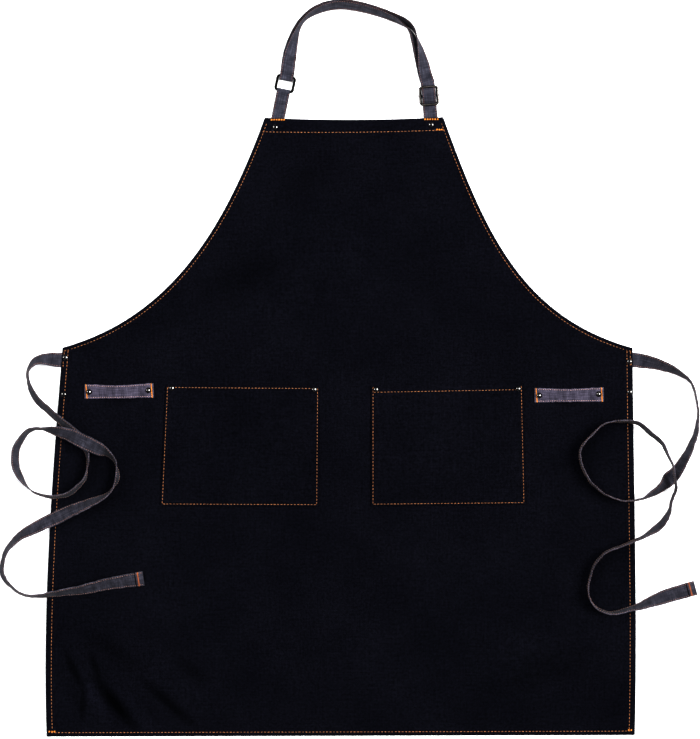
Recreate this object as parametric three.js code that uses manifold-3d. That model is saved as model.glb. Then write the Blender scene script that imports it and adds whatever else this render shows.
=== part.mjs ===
// Bib apron of dark canvas, lying on its back: panel, two patch pockets, two towel loops, a neck strap with
// its ring and slider, two loose waist ties, and rivets where the cloth is pulled.
// Millimetres. +X is the right as seen from the front, +Y is towards the neck, z = 0 is the resting surface.
import * as THREE from "three";
import { mergeVertices } from "three/addons/utils/BufferGeometryUtils.js";
import Module from "manifold-3d";

const wasm = await Module();
wasm.setup();

const { degToRad, lerp, clamp } = THREE.MathUtils;
const UP = new THREE.Vector3(0, 0, 1);

// Cloth, tape and clearances
const CLOTH = 1.2;
const HEM_FOLD = 2 * CLOTH;
const SIDE_HEM = 8;
const TAPE = 1.2;
const TIE_WIDTH = 18;
const TAB_WIDTH = 16.5;
const STRAP_WIDTH = 17.2;
const GAP = 0.3;
const FLOOR_GAP = 0.2;
const PANEL_TOP = HEM_FOLD + CLOTH;
const ON_PANEL = PANEL_TOP + GAP;

// Panel outline: a side edge from hem to waist, then a scooped armhole from waist to bib corner.
// Bulges bow the side edge out at a third and two thirds; reaches set how far the armhole follows its ends.
const EDGES = {
  left: {
    inward: 1, hemX: -368.4, hemY: -460, waistX: -348.5, waistY: 26.5, bibX: -95.6, bibY: 314,
    lowBulge: 12.2, highBulge: 6.6, footReach: 138, headReach: 152,
  },
  right: {
    inward: -1, hemX: 367, hemY: -458, waistX: 364.3, waistY: 26, bibX: 127.4, bibY: 314.8,
    lowBulge: 4.8, highBulge: 0.1, footReach: 145, headReach: 152,
  },
};
const ARMHOLE_FOOT_ANGLE = degToRad(15.5);
const ARMHOLE_HEAD_ANGLE = degToRad(20);
const TOP_DIP = 3;

// Rows of the panel by level: 0 is the bottom edge, 1 the waist corners and 2 the top of the bib.
const ROW_BANDS = [
  { start: 0, end: 0.0165, steps: 1, fold: true },
  { start: 0.0165, end: 0.3, steps: 8, fold: false },
  { start: 0.3, end: 1, steps: 9, fold: false },
  { start: 1, end: 1.955, steps: 13, fold: false },
  { start: 1.955, end: 2, steps: 1, fold: true },
];
const COLUMN_BANDS = [
  { start: 0, end: 0.28, steps: 12, fold: false },
  { start: 0.28, end: 1, steps: 13, fold: false },
];

// Soft folds of the lying cloth, highest half way along
const FOLDS = [
  { fromX: -347, fromY: -330, toX: -318, toY: -446, height: 3.2, halfWidth: 12 },
  { fromX: -318, fromY: -335, toX: -262, toY: -450, height: 3.6, halfWidth: 13 },
  { fromX: -262, fromY: -365, toX: -178, toY: -450, height: 3, halfWidth: 15 },
  { fromX: 170, fromY: -398, toX: 320, toY: -350, height: 2.6, halfWidth: 26 },
  { fromX: -128, fromY: 60, toX: 60, toY: 160, height: 2.4, halfWidth: 34 },
];

// Patch pockets, by their corners and the rise of the slack mouth
const POCKETS = [
  {
    name: "pocket_left", mouthLeft: [-219, -21], mouthRight: [-27.5, -22.4],
    footRight: [-28.6, -171.9], footLeft: [-226, -171],
  },
  {
    name: "pocket_right", mouthLeft: [37.6, -20.6], mouthRight: [226.9, -19.6],
    footRight: [230.3, -169.3], footLeft: [37.5, -171.3],
  },
];
const POCKET_GAPE = 9;
const POCKET_SLACK_POWER = 1.2;
const POCKET_COLUMNS = 14;
const POCKET_ROWS = 8;

// Towel loops: tape held flat at both ends and arched between
const LOOPS = [
  { name: "towel_loop_left", startX: -321, startY: -28.6, endX: -234.4, endY: -27.1 },
  { name: "towel_loop_right", startX: 241.4, startY: -33.2, endX: 328.1, endY: -32.3 },
];
const LOOP_RISE = 7;
const LOOP_FLAT_SHARE = 0.16;
const LOOP_STEPS = 20;

// Rivets: dome on the front, shank through the layers, flat plate at the back
const RIVET = { cap: 3.5, shoulder: 2.5, dome: 1.5, shank: 1.5, plate: 3.1, plateThickness: 0.5, sides: 10 };
const SHOULDER_SHARE = 0.75;
const HOLE_RADIUS = RIVET.shank + 0.4;
const PLATE_UNDER_PANEL = HEM_FOLD - GAP - RIVET.plateThickness;
const SEAT_ON_PANEL = PANEL_TOP + GAP;
const SEAT_ON_LAYER = ON_PANEL + CLOTH + 2 * GAP;
const RIVETS = [
  { name: "rivet_bib_left", x: -82.5, y: 302, plate: 0, seat: SEAT_ON_PANEL, through: "neck_tab" },
  { name: "rivet_bib_right", x: 112.4, y: 305, plate: 0, seat: SEAT_ON_PANEL, through: "neck_strap" },
  { name: "rivet_side_left_upper", x: -344.8, y: 14, plate: 0, seat: SEAT_ON_PANEL, through: "tie_left" },
  { name: "rivet_side_right_upper", x: 360.3, y: 9, plate: 0, seat: SEAT_ON_PANEL, through: "tie_right" },
  { name: "rivet_side_left_lower", x: -347, y: -32, plate: 0, seat: SEAT_ON_PANEL, recessed: true },
  { name: "rivet_side_right_lower", x: 360.5, y: -29, plate: 0, seat: SEAT_ON_PANEL, recessed: true },
  { name: "rivet_pocket_left_a", x: -211.5, y: -24.2, through: "pocket_left" },
  { name: "rivet_pocket_left_b", x: -33.5, y: -26, through: "pocket_left" },
  { name: "rivet_pocket_right_a", x: 43.8, y: -26, through: "pocket_right" },
  { name: "rivet_pocket_right_b", x: 221.5, y: -25, through: "pocket_right" },
  { name: "rivet_loop_left_a", x: -315, y: -28.9, through: "towel_loop_left" },
  { name: "rivet_loop_left_b", x: -240.8, y: -26.9, through: "towel_loop_left" },
  { name: "rivet_loop_right_a", x: 247.5, y: -33.4, through: "towel_loop_right" },
  { name: "rivet_loop_right_b", x: 321.8, y: -31.6, through: "towel_loop_right" },
];

// Where tape is tucked behind a hem, the hem's fold leaves room for it.
const TUCKED = { height: HEM_FOLD - 0.05, play: 0.7 };
const TUCKED_LAYER = 1.45;
const TIE_TUCK = 15;
const STRAP_TUCK = 20;

// Neck ring and tab
const RING = {
  x: -70.1, y: 356.6, z: 2.9, turn: degToRad(-12),
  width: 24.2, height: 21.2, wire: 1.2, corner: 3,
};
const RING_BAR = RING.height / 2 - RING.wire;
const RING_CORNER_STEPS = 4;
const WIRE_SIDES = 8;
const TAB_EDGE = { x: -79.3, y: 313.2 };
const TAB_FRONT = [
  { fromBar: 53, z: TUCKED_LAYER },
  { fromBar: 37, z: TUCKED_LAYER },
  { fromBar: 33, z: 1.7 },
  { fromBar: 27, z: 2.6 },
  { fromBar: 17.6, z: 3.7 },
  { fromBar: 4, z: 4.9 },
];
const TAB_BACK = [
  { fromBar: 6, z: 0.8 },
  { fromBar: 27, z: 0.8 },
];
const TAPE_BEND = 2.1;
const BEND_STEPS = 6;

// Slider with two slots, and the two layers of strap that pass it
const SLIDER = {
  x: 109.5, y: 341.3, z: 3.6, turn: degToRad(4.9), width: 25, height: 25,
  bar: 2.6, middle: 3, slotWidth: 19.6, slotCorner: 2, corner: 5, cornerSteps: 4, bevel: 0.4, thickness: 2,
};
const STRAP_OVER_SLIDER = [
  { along: 46, z: TUCKED_LAYER },
  { along: 30, z: TUCKED_LAYER },
  { along: 20, z: 1.5 },
  { along: 12.5, z: 1.7 },
  { along: 9.9, z: 2.3 },
  { along: 7.5, z: 4 },
  { along: 5, z: 6.4 },
  { along: 2.5, z: 8.1 },
  { along: 0, z: 8.6 },
  { along: -2.5, z: 8.1 },
  { along: -5, z: 6.4 },
  { along: -7.5, z: 4 },
  { along: -9.9, z: 2.5 },
  { along: -12.5, z: 2.4 },
];
const STRAP_TO_MIDDLE_BAR = [
  { along: -12.5, z: 0.8 },
  { along: -8, z: 0.9 },
  { along: -4, z: 1.5 },
];
const MIDDLE_BAR_WRAP = { along: 3, z: 2.3 };

// Route of the doubled neck strap from ring to slider: tilt turns the outer edge up, spread parts the layers.
// Where the strap stands on edge the layers open like a V, whose lower edges stay as near as STRAP_LAYERS.
const STRAP_LAYERS = 1.35;
const NECK_ROUTE = [
  { x: -68.8, y: 362.7, tilt: 0, spread: 4.2 },
  { x: -67.3, y: 371.5, tilt: 0, spread: 4.2 },
  { x: -65.4, y: 386, tilt: 15, spread: 2.4 },
  { x: -60.6, y: 408, tilt: 48, spread: 1.8 },
  { x: -54.3, y: 426, tilt: 73, spread: 1.8 },
  { x: -47.6, y: 436, tilt: 78, spread: 1.8 },
  { x: -36.6, y: 444.8, tilt: 70, spread: 1.8 },
  { x: -20, y: 452, tilt: 61, spread: 1.8 },
  { x: 1, y: 455, tilt: 57, spread: 1.8 },
  { x: 21, y: 452.3, tilt: 59, spread: 1.8 },
  { x: 42, y: 446.9, tilt: 62, spread: 1.8 },
  { x: 63.6, y: 439, tilt: 68, spread: 2.4 },
  { x: 79, y: 431, tilt: 80, spread: 4.4 },
  { x: 88.6, y: 422, tilt: 95, spread: 4.8 },
  { x: 95, y: 405, tilt: 116, spread: 4.4 },
  { x: 100.2, y: 386, tilt: 142, spread: 3.6 },
  { x: 104.4, y: 369, tilt: 168, spread: 2 },
  { x: 108, y: 358.2, tilt: 180, spread: 1.6 },
];
const NECK_STEPS = 2;

// Routes of the waist ties: tilt turns the left-hand edge up, ground is what the lower edge lies on.
const ROOT = 0.65;
const BAND = 23;
const TIE_STEPS = 2;
const TIE_ROUTES = {
  tie_left: [
    { x: -335, y: 11, tilt: 0, ground: ROOT },
    { x: -352, y: 11, tilt: 0, ground: ROOT },
    { x: -370, y: 12, tilt: 38, ground: 0 },
    { x: -383, y: 8.5, tilt: 57, ground: 0 },
    { x: -392, y: -7, tilt: 75, ground: 0 },
    { x: -383, y: -33, tilt: 62, ground: 0 },
    { x: -366, y: -51, tilt: 58, ground: ON_PANEL },
    { x: -350, y: -65, tilt: 58, ground: ON_PANEL },
    { x: -337, y: -77, tilt: 46, ground: ON_PANEL },
    { x: -326, y: -89, tilt: 28, ground: ON_PANEL },
    { x: -318.5, y: -103, tilt: 68, ground: ON_PANEL },
    { x: -316, y: -120, tilt: 80, ground: ON_PANEL },
    { x: -321, y: -138, tilt: 98, ground: ON_PANEL },
    { x: -339, y: -155, tilt: 106, ground: ON_PANEL },
    { x: -364, y: -160, tilt: 105, ground: ON_PANEL },
    { x: -387, y: -151, tilt: 98, ground: 0 },
    { x: -402, y: -134, tilt: 71, ground: 0 },
    { x: -407.2, y: -113, tilt: 64, ground: 0 },
    { x: -403, y: -93, tilt: 68, ground: 0 },
    { x: -389.8, y: -78.5, tilt: 76, ground: 3 },
    { x: -374.5, y: -74, tilt: 80, ground: 7 },
    { x: -357, y: -77.5, tilt: 52, ground: 11 },
    { x: -339, y: -82, tilt: 28, ground: 17 },
    { x: -321, y: -90, tilt: 6, ground: BAND },
    { x: -304, y: -98, tilt: 16, ground: 21 },
    { x: -290.5, y: -105.5, tilt: 60, ground: 9 },
    { x: -281, y: -120, tilt: 82, ground: ON_PANEL },
    { x: -279, y: -136, tilt: 102, ground: ON_PANEL },
    { x: -287.5, y: -152, tilt: 82, ground: ON_PANEL },
    { x: -306.5, y: -164.5, tilt: 62, ground: ON_PANEL },
    { x: -328, y: -173, tilt: 42, ground: ON_PANEL },
    { x: -354, y: -185, tilt: 24, ground: ON_PANEL },
    { x: -381, y: -198, tilt: 37, ground: ON_PANEL },
    { x: -403.5, y: -210.5, tilt: 57, ground: 0 },
    { x: -420.3, y: -231.5, tilt: 70, ground: 0 },
    { x: -422.5, y: -256, tilt: 66, ground: 0 },
    { x: -402, y: -281, tilt: 76, ground: 0 },
    { x: -374, y: -283, tilt: 71, ground: ON_PANEL },
    { x: -316, y: -274, tilt: 42, ground: ON_PANEL },
    { x: -282, y: -267, tilt: 28, ground: ON_PANEL },
    { x: -247, y: -262, tilt: 0, ground: ON_PANEL },
  ],
  tie_right: [
    { x: 350, y: 11, tilt: 0, ground: ROOT },
    { x: 367, y: 11, tilt: 0, ground: ROOT },
    { x: 391, y: 6.5, tilt: 37, ground: 0 },
    { x: 410.5, y: 0, tilt: 58, ground: 0 },
    { x: 424, y: -6.5, tilt: 73, ground: 0 },
    { x: 436, y: -18, tilt: 88, ground: 0 },
    { x: 445.5, y: -48, tilt: 93, ground: 0 },
    { x: 442, y: -80, tilt: 81, ground: 0 },
    { x: 432, y: -106.5, tilt: 65, ground: 0 },
    { x: 418, y: -129, tilt: 41, ground: 0 },
    { x: 402.5, y: -145.5, tilt: -42, ground: 0 },
    { x: 390, y: -154, tilt: -58, ground: 0 },
    { x: 375, y: -162.5, tilt: -80, ground: ON_PANEL },
    { x: 353, y: -165, tilt: -88, ground: ON_PANEL },
    { x: 332, y: -158, tilt: -88, ground: ON_PANEL },
    { x: 314, y: -145, tilt: -88, ground: ON_PANEL },
    { x: 302, y: -125, tilt: -88, ground: ON_PANEL },
    { x: 299, y: -103, tilt: -89, ground: ON_PANEL },
    { x: 312, y: -82, tilt: -92, ground: ON_PANEL },
    { x: 334, y: -68, tilt: -95, ground: ON_PANEL },
    { x: 353, y: -64.5, tilt: -98, ground: ON_PANEL },
    { x: 372, y: -70, tilt: -103, ground: ON_PANEL },
    { x: 392, y: -85.5, tilt: -102, ground: 3 },
    { x: 407.5, y: -108, tilt: -94, ground: 8 },
    { x: 414, y: -130, tilt: -90, ground: 9 },
    { x: 416, y: -150, tilt: -92, ground: 6 },
    { x: 412, y: -168, tilt: -92, ground: 1 },
    { x: 405, y: -186, tilt: -105, ground: 0 },
    { x: 394, y: -199.5, tilt: -112, ground: 0 },
    { x: 377, y: -209, tilt: -95, ground: ON_PANEL },
    { x: 352, y: -219, tilt: -92, ground: ON_PANEL },
    { x: 328, y: -230, tilt: -90, ground: ON_PANEL },
    { x: 313, y: -250, tilt: -88, ground: ON_PANEL },
    { x: 307, y: -272, tilt: -87, ground: ON_PANEL },
    { x: 313, y: -293, tilt: -86, ground: ON_PANEL },
    { x: 329, y: -304, tilt: -85, ground: ON_PANEL },
    { x: 351, y: -302, tilt: -81, ground: ON_PANEL },
    { x: 375, y: -295, tilt: -64, ground: ON_PANEL },
    { x: 407, y: -284, tilt: -24, ground: 1 },
    { x: 443, y: -274, tilt: 0, ground: 0 },
  ],
};

const CANVAS_LOOK = { color: 0x12121a, roughness: 0.9, metalness: 0 };
const TAPE_LOOK = { color: 0x5c5865, roughness: 0.85, metalness: 0 };
const DARK_METAL_LOOK = { color: 0x2b2a2e, roughness: 0.35, metalness: 1 };
const NICKEL_LOOK = { color: 0x8d8a86, roughness: 0.25, metalness: 1 };

// Closed bodies from points and triangles; points that coincide become one and flat triangles drop out.
function closedBody(points, triangles) {
  const loose = new THREE.BufferGeometry();
  loose.setAttribute("position", new THREE.Float32BufferAttribute(points, 3));
  loose.setIndex(triangles);
  const body = mergeVertices(loose, 1e-3);
  const index = body.index.array;
  const kept = [];
  for (let i = 0; i < index.length; i += 3) {
    const [a, b, c] = index.slice(i, i + 3);
    if (a !== b && b !== c && c !== a) kept.push(a, b, c);
  }
  body.setIndex(kept);
  return body;
}

function addQuad(triangles, a, b, c, d) {
  triangles.push(a, b, c, a, c, d);
}

// A cloth wall over a grid of rows and columns; vertex gives the place, underside and top of each grid point.
function clothWall(rowCount, columnCount, vertex) {
  const points = [];
  const triangles = [];
  const id = (row, column, level) => 2 * (row * columnCount + column) + level;
  for (let row = 0; row < rowCount; row += 1) {
    for (let column = 0; column < columnCount; column += 1) {
      const { x, y, under, top } = vertex(row, column);
      points.push(x, y, under, x, y, top);
    }
  }
  for (let row = 0; row + 1 < rowCount; row += 1) {
    for (let column = 0; column + 1 < columnCount; column += 1) {
      const [r, c] = [row + 1, column + 1];
      addQuad(triangles, id(row, column, 1), id(row, c, 1), id(r, c, 1), id(r, column, 1));
      addQuad(triangles, id(row, column, 0), id(r, column, 0), id(r, c, 0), id(row, c, 0));
    }
  }
  const lastRow = rowCount - 1;
  const lastColumn = columnCount - 1;
  for (let c = 0; c < lastColumn; c += 1) {
    addQuad(triangles, id(0, c, 0), id(0, c + 1, 0), id(0, c + 1, 1), id(0, c, 1));
    addQuad(triangles, id(lastRow, c + 1, 0), id(lastRow, c, 0), id(lastRow, c, 1), id(lastRow, c + 1, 1));
  }
  for (let r = 0; r < lastRow; r += 1) {
    const [low, high] = [id(r, lastColumn, 0), id(r + 1, lastColumn, 0)];
    addQuad(triangles, id(r + 1, 0, 0), id(r, 0, 0), id(r, 0, 1), id(r + 1, 0, 1));
    addQuad(triangles, low, high, high + 1, low + 1);
  }
  return closedBody(points, triangles);
}

// A strip of tape through stations, each a centre and the direction across the tape. Its two faces are split
// along the same diagonals, and a returning layer along the other ones, so that twisted tape stays apart.
function tapeStrip(stations, width, thickness) {
  const points = [];
  const triangles = [];
  const last = stations.length - 1;
  stations.forEach(({ center, across }, k) => {
    const tangent = stations[Math.min(k + 1, last)].center.clone().sub(stations[Math.max(k - 1, 0)].center);
    const normal = tangent.cross(across).normalize();
    for (const [side, face] of [[1, 1], [-1, 1], [-1, -1], [1, -1]]) {
      const corner = center.clone();
      corner.addScaledVector(across, (side * width) / 2).addScaledVector(normal, (face * thickness) / 2);
      points.push(...corner);
    }
  });
  for (let k = 0; k < last; k += 1) {
    const [here, next] = [4 * k, 4 * k + 4];
    if (stations[k].returning) {
      addQuad(triangles, here + 1, next + 1, next, here);
      addQuad(triangles, here + 2, here + 3, next + 3, next + 2);
    } else {
      addQuad(triangles, here, here + 1, next + 1, next);
      addQuad(triangles, here + 3, next + 3, next + 2, here + 2);
    }
    addQuad(triangles, here + 1, here + 2, next + 2, next + 1);
    addQuad(triangles, here + 3, here, next, next + 3);
  }
  addQuad(triangles, 0, 3, 2, 1);
  addQuad(triangles, 4 * last, 4 * last + 1, 4 * last + 2, 4 * last + 3);
  return closedBody(points, triangles);
}

function toSolid(geometry) {
  const bare = geometry.clone();
  bare.deleteAttribute("normal");
  bare.deleteAttribute("uv");
  const merged = mergeVertices(bare);
  const vertProperties = new Float32Array(merged.attributes.position.array);
  const triVerts = new Uint32Array(merged.index.array);
  return new wasm.Manifold(new wasm.Mesh({ numProp: 3, vertProperties, triVerts }));
}

function cutFrom(geometry, tools) {
  const solid = tools.reduce((body, tool) => body.subtract(toSolid(tool)), toSolid(geometry));
  const { vertProperties, triVerts } = solid.getMesh();
  const result = new THREE.BufferGeometry();
  result.setAttribute("position", new THREE.BufferAttribute(vertProperties, 3));
  result.setIndex(new THREE.BufferAttribute(triVerts, 1));
  return result;
}

function upright(radius, bottom, top, x, y) {
  const post = new THREE.CylinderGeometry(radius, radius, top - bottom, RIVET.sides);
  return post.rotateX(Math.PI / 2).translate(x, y, (bottom + top) / 2);
}

// Shank holes of the rivets that pass through a piece
function rivetHoles(name) {
  const through = RIVETS.filter((rivet) => name === "body_panel" || rivet.through === name);
  return through.map(({ x, y }) => upright(HOLE_RADIUS, -1, SEAT_ON_LAYER + 2 * CLOTH, x, y));
}

function outlineCurves(edge) {
  const { inward, hemX, hemY, waistX, waistY, bibX, bibY } = edge;
  const side = new THREE.CubicBezierCurve(
    new THREE.Vector2(hemX, hemY),
    new THREE.Vector2(lerp(hemX, waistX, 1 / 3) - inward * edge.lowBulge, lerp(hemY, waistY, 1 / 3)),
    new THREE.Vector2(lerp(hemX, waistX, 2 / 3) - inward * edge.highBulge, lerp(hemY, waistY, 2 / 3)),
    new THREE.Vector2(waistX, waistY),
  );
  const foot = new THREE.Vector2(inward * Math.cos(ARMHOLE_FOOT_ANGLE), Math.sin(ARMHOLE_FOOT_ANGLE));
  const head = new THREE.Vector2(inward * Math.sin(ARMHOLE_HEAD_ANGLE), Math.cos(ARMHOLE_HEAD_ANGLE));
  const armhole = new THREE.CubicBezierCurve(
    new THREE.Vector2(waistX, waistY),
    new THREE.Vector2(waistX, waistY).addScaledVector(foot, edge.footReach),
    new THREE.Vector2(bibX, bibY).addScaledVector(head, -edge.headReach),
    new THREE.Vector2(bibX, bibY),
  );
  return [side, armhole];
}

// The outline's point at a level, and how far along the row its hem reaches inwards
function outlineAt([side, armhole], level) {
  const curve = level <= 1 ? side : armhole;
  const t = level <= 1 ? level : level - 1;
  return { point: curve.getPoint(t), inset: SIDE_HEM / Math.abs(curve.getTangent(t).y) };
}

function foldRise(x, y) {
  return FOLDS.reduce((rise, { fromX, fromY, toX, toY, height, halfWidth }) => {
    const [dx, dy] = [toX - fromX, toY - fromY];
    const along = clamp(((x - fromX) * dx + (y - fromY) * dy) / (dx * dx + dy * dy), 0, 1);
    const away = Math.hypot(x - fromX - along * dx, y - fromY - along * dy);
    return rise + height * Math.sin(Math.PI * along) * Math.exp(-((away / halfWidth) ** 2));
  }, 0);
}

function bandStations(bands) {
  return bands.flatMap(({ start, end, steps, fold }) =>
    Array.from({ length: steps + 1 }, (_, step) => ({ at: lerp(start, end, step / steps), fold })),
  );
}

// Notches in the hem folds where tape is tucked in, each centred on the hem's edge
function tuckNotches() {
  const notch = (width, depth, x, y, turn) => {
    const room = new THREE.BoxGeometry(width + 2 * TUCKED.play, 2 * depth, 2 * TUCKED.height);
    return room.rotateZ(turn).translate(x, y, 0);
  };
  const tabTurn = -Math.atan2(RING.x - TAB_EDGE.x, RING.y - TAB_EDGE.y);
  const bibRight = sliderPoint(EDGES.right.bibY, 0);
  return [
    notch(TAB_WIDTH, STRAP_TUCK, TAB_EDGE.x, TAB_EDGE.y, tabTurn),
    notch(STRAP_WIDTH, STRAP_TUCK, bibRight.x, bibRight.y, SLIDER.turn),
    ...Object.values(TIE_ROUTES).map(([, root]) => notch(TIE_WIDTH, TIE_TUCK, root.x, root.y, Math.PI / 2)),
  ];
}

// The point on the slider's line of strap at a height y on the panel
function sliderPoint(y, z) {
  const along = (SLIDER.y - y) / Math.cos(SLIDER.turn);
  return strapPoint(along, z);
}

function strapPoint(along, z) {
  const x = SLIDER.x + along * Math.sin(SLIDER.turn);
  return new THREE.Vector3(x, SLIDER.y - along * Math.cos(SLIDER.turn), z);
}

function bodyPanel() {
  const [left, right] = [outlineCurves(EDGES.left), outlineCurves(EDGES.right)];
  const rows = bandStations(ROW_BANDS);
  const columns = [
    { at: 0, fold: true, outer: true },
    { at: 0, fold: true },
    ...bandStations(COLUMN_BANDS),
    { at: 1, fold: true },
    { at: 1, fold: true, outer: true },
  ];
  const vertex = (row, column) => {
    const level = rows[row].at;
    const [from, to] = [outlineAt(left, level), outlineAt(right, level)];
    const { at, fold, outer } = columns[column];
    const x = lerp(from.point.x + (outer ? 0 : from.inset), to.point.x - (outer ? 0 : to.inset), at);
    const across = (x - from.point.x) / (to.point.x - from.point.x);
    const dip = TOP_DIP * Math.max(0, level - 1) ** 3;
    const y = lerp(from.point.y, to.point.y, across) - 4 * dip * across * (1 - across);
    const rise = foldRise(x, y);
    const under = fold || rows[row].fold ? 0 : HEM_FOLD;
    return { x, y, under: under + rise, top: PANEL_TOP + rise };
  };
  const recesses = RIVETS.filter(({ recessed }) => recessed).map(({ x, y }) =>
    upright(RIVET.plate + GAP, -1, RIVET.plateThickness + GAP, x, y),
  );
  const cloth = clothWall(rows.length, columns.length, vertex);
  return cutFrom(cloth, [...tuckNotches(), ...recesses, ...rivetHoles("body_panel")]);
}

function pocket({ name, mouthLeft, mouthRight, footRight, footLeft }) {
  const vertex = (row, column) => {
    const [u, v] = [column / POCKET_COLUMNS, row / POCKET_ROWS];
    const [x, y] = [0, 1].map((axis) => {
      const foot = lerp(footLeft[axis], footRight[axis], u);
      return lerp(foot, lerp(mouthLeft[axis], mouthRight[axis], u), v);
    });
    const under = ON_PANEL + POCKET_GAPE * Math.sin(Math.PI * u) ** 2 * v ** POCKET_SLACK_POWER;
    return { x, y, under, top: under + CLOTH };
  };
  return cutFrom(clothWall(POCKET_ROWS + 1, POCKET_COLUMNS + 1, vertex), rivetHoles(name));
}

function towelLoop({ name, startX, startY, endX, endY }) {
  const across = new THREE.Vector3(startY - endY, endX - startX, 0).normalize();
  const stations = Array.from({ length: LOOP_STEPS + 1 }, (_, step) => {
    const share = step / LOOP_STEPS;
    const arch = clamp((share - LOOP_FLAT_SHARE) / (1 - 2 * LOOP_FLAT_SHARE), 0, 1);
    const z = ON_PANEL + TAPE / 2 + LOOP_RISE * Math.sin(Math.PI * arch) ** 2;
    return { center: new THREE.Vector3(lerp(startX, endX, share), lerp(startY, endY, share), z), across };
  });
  return cutFrom(tapeStrip(stations, TIE_WIDTH, TAPE), rivetHoles(name));
}

// A wire ring: round section carried round a rectangle with round corners
function neckRing() {
  const points = [];
  const triangles = [];
  const halfWidth = RING.width / 2 - RING.wire;
  const perCorner = RING_CORNER_STEPS + 1;
  const stationCount = 4 * perCorner;
  for (let station = 0; station < stationCount; station += 1) {
    const corner = Math.floor(station / perCorner);
    const angle = ((corner + (station % perCorner) / RING_CORNER_STEPS) * Math.PI) / 2;
    const signX = corner === 0 || corner === 3 ? 1 : -1;
    const signY = corner < 2 ? 1 : -1;
    for (let side = 0; side < WIRE_SIDES; side += 1) {
      const turn = (2 * Math.PI * side) / WIRE_SIDES;
      const reach = RING.corner + RING.wire * Math.cos(turn);
      points.push(
        signX * (halfWidth - RING.corner) + reach * Math.cos(angle),
        signY * (RING_BAR - RING.corner) + reach * Math.sin(angle),
        RING.wire * Math.sin(turn),
      );
      const here = station * WIRE_SIDES;
      const next = ((station + 1) % stationCount) * WIRE_SIDES;
      const beside = (side + 1) % WIRE_SIDES;
      addQuad(triangles, here + side, next + side, next + beside, here + beside);
    }
  }
  return closedBody(points, triangles).rotateZ(RING.turn).translate(RING.x, RING.y, RING.z);
}

function neckSlider() {
  const roundRectangle = (outline, width, low, high, radius) => {
    outline.moveTo(width / 2, low + radius);
    outline.absarc(width / 2 - radius, high - radius, radius, 0, Math.PI / 2);
    outline.absarc(-width / 2 + radius, high - radius, radius, Math.PI / 2, Math.PI);
    outline.absarc(-width / 2 + radius, low + radius, radius, Math.PI, 1.5 * Math.PI);
    outline.absarc(width / 2 - radius, low + radius, radius, 1.5 * Math.PI, 2 * Math.PI);
    return outline;
  };
  const { width, height, bar, middle, slotWidth, slotCorner, corner, cornerSteps, bevel, thickness } = SLIDER;
  const plate = roundRectangle(new THREE.Shape(), width, -height / 2, height / 2, corner);
  const slot = (low, high) => roundRectangle(new THREE.Path(), slotWidth, low, high, slotCorner);
  plate.holes.push(slot(middle / 2, height / 2 - bar), slot(bar - height / 2, -middle / 2));
  const extruded = new THREE.ExtrudeGeometry(plate, {
    depth: thickness - 2 * bevel, curveSegments: cornerSteps,
    bevelEnabled: true, bevelSize: bevel, bevelOffset: -bevel, bevelThickness: bevel, bevelSegments: 1,
  });
  return extruded.translate(0, 0, bevel).rotateZ(SLIDER.turn).translate(SLIDER.x, SLIDER.y, SLIDER.z);
}

// The tab lies under the bib, turns round the ring's lower bar and comes back beneath itself.
function neckTab() {
  const bar = new THREE.Vector3(0, -RING_BAR, 0).applyAxisAngle(UP, RING.turn);
  bar.add(new THREE.Vector3(RING.x, RING.y, 0));
  const along = new THREE.Vector3(TAB_EDGE.x, TAB_EDGE.y, 0).sub(bar).normalize();
  const across = along.clone().cross(UP);
  const bend = Array.from({ length: BEND_STEPS + 1 }, (_, step) => {
    const angle = (Math.PI * step) / BEND_STEPS;
    return { fromBar: -TAPE_BEND * Math.sin(angle), z: RING.z + TAPE_BEND * Math.cos(angle) };
  });
  const stations = [...TAB_FRONT, ...bend, ...TAB_BACK].map(({ fromBar, z }) => ({
    center: bar.clone().addScaledVector(along, fromBar).setZ(z),
    across,
  }));
  return cutFrom(tapeStrip(stations, TAB_WIDTH, TAPE), rivetHoles("neck_tab"));
}

// A smooth way through the rows of a route, with its other columns running straight from row to row
function smoothRoute(route, columns, steps) {
  const way = new THREE.CatmullRomCurve3(route.map(({ x, y }) => new THREE.Vector3(x, y, 0)));
  const count = steps * (route.length - 1);
  return Array.from({ length: count + 1 }, (_, step) => {
    const row = Math.min(Math.floor(step / steps), route.length - 2);
    const share = step / steps - row;
    const values = columns.map((column) => [column, lerp(route[row][column], route[row + 1][column], share)]);
    const [center, forward] = [way.getPoint(step / count), way.getTangent(step / count)];
    return { center, forward, ...Object.fromEntries(values) };
  });
}

function tiltedAcross(forward, tilt) {
  const leftHand = UP.clone().cross(forward);
  return leftHand.multiplyScalar(Math.cos(tilt)).addScaledVector(UP, Math.sin(tilt));
}

function tie(name) {
  const stations = smoothRoute(TIE_ROUTES[name], ["tilt", "ground"], TIE_STEPS).map((station) => {
    const { center, forward, tilt, ground } = station;
    const turn = degToRad(tilt);
    const height = TIE_WIDTH * Math.abs(Math.sin(turn)) + TAPE * Math.abs(Math.cos(turn));
    center.z = ground + FLOOR_GAP + height / 2;
    return { center, across: tiltedAcross(forward, turn) };
  });
  return cutFrom(tapeStrip(stations, TIE_WIDTH, TAPE), rivetHoles(name));
}

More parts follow.
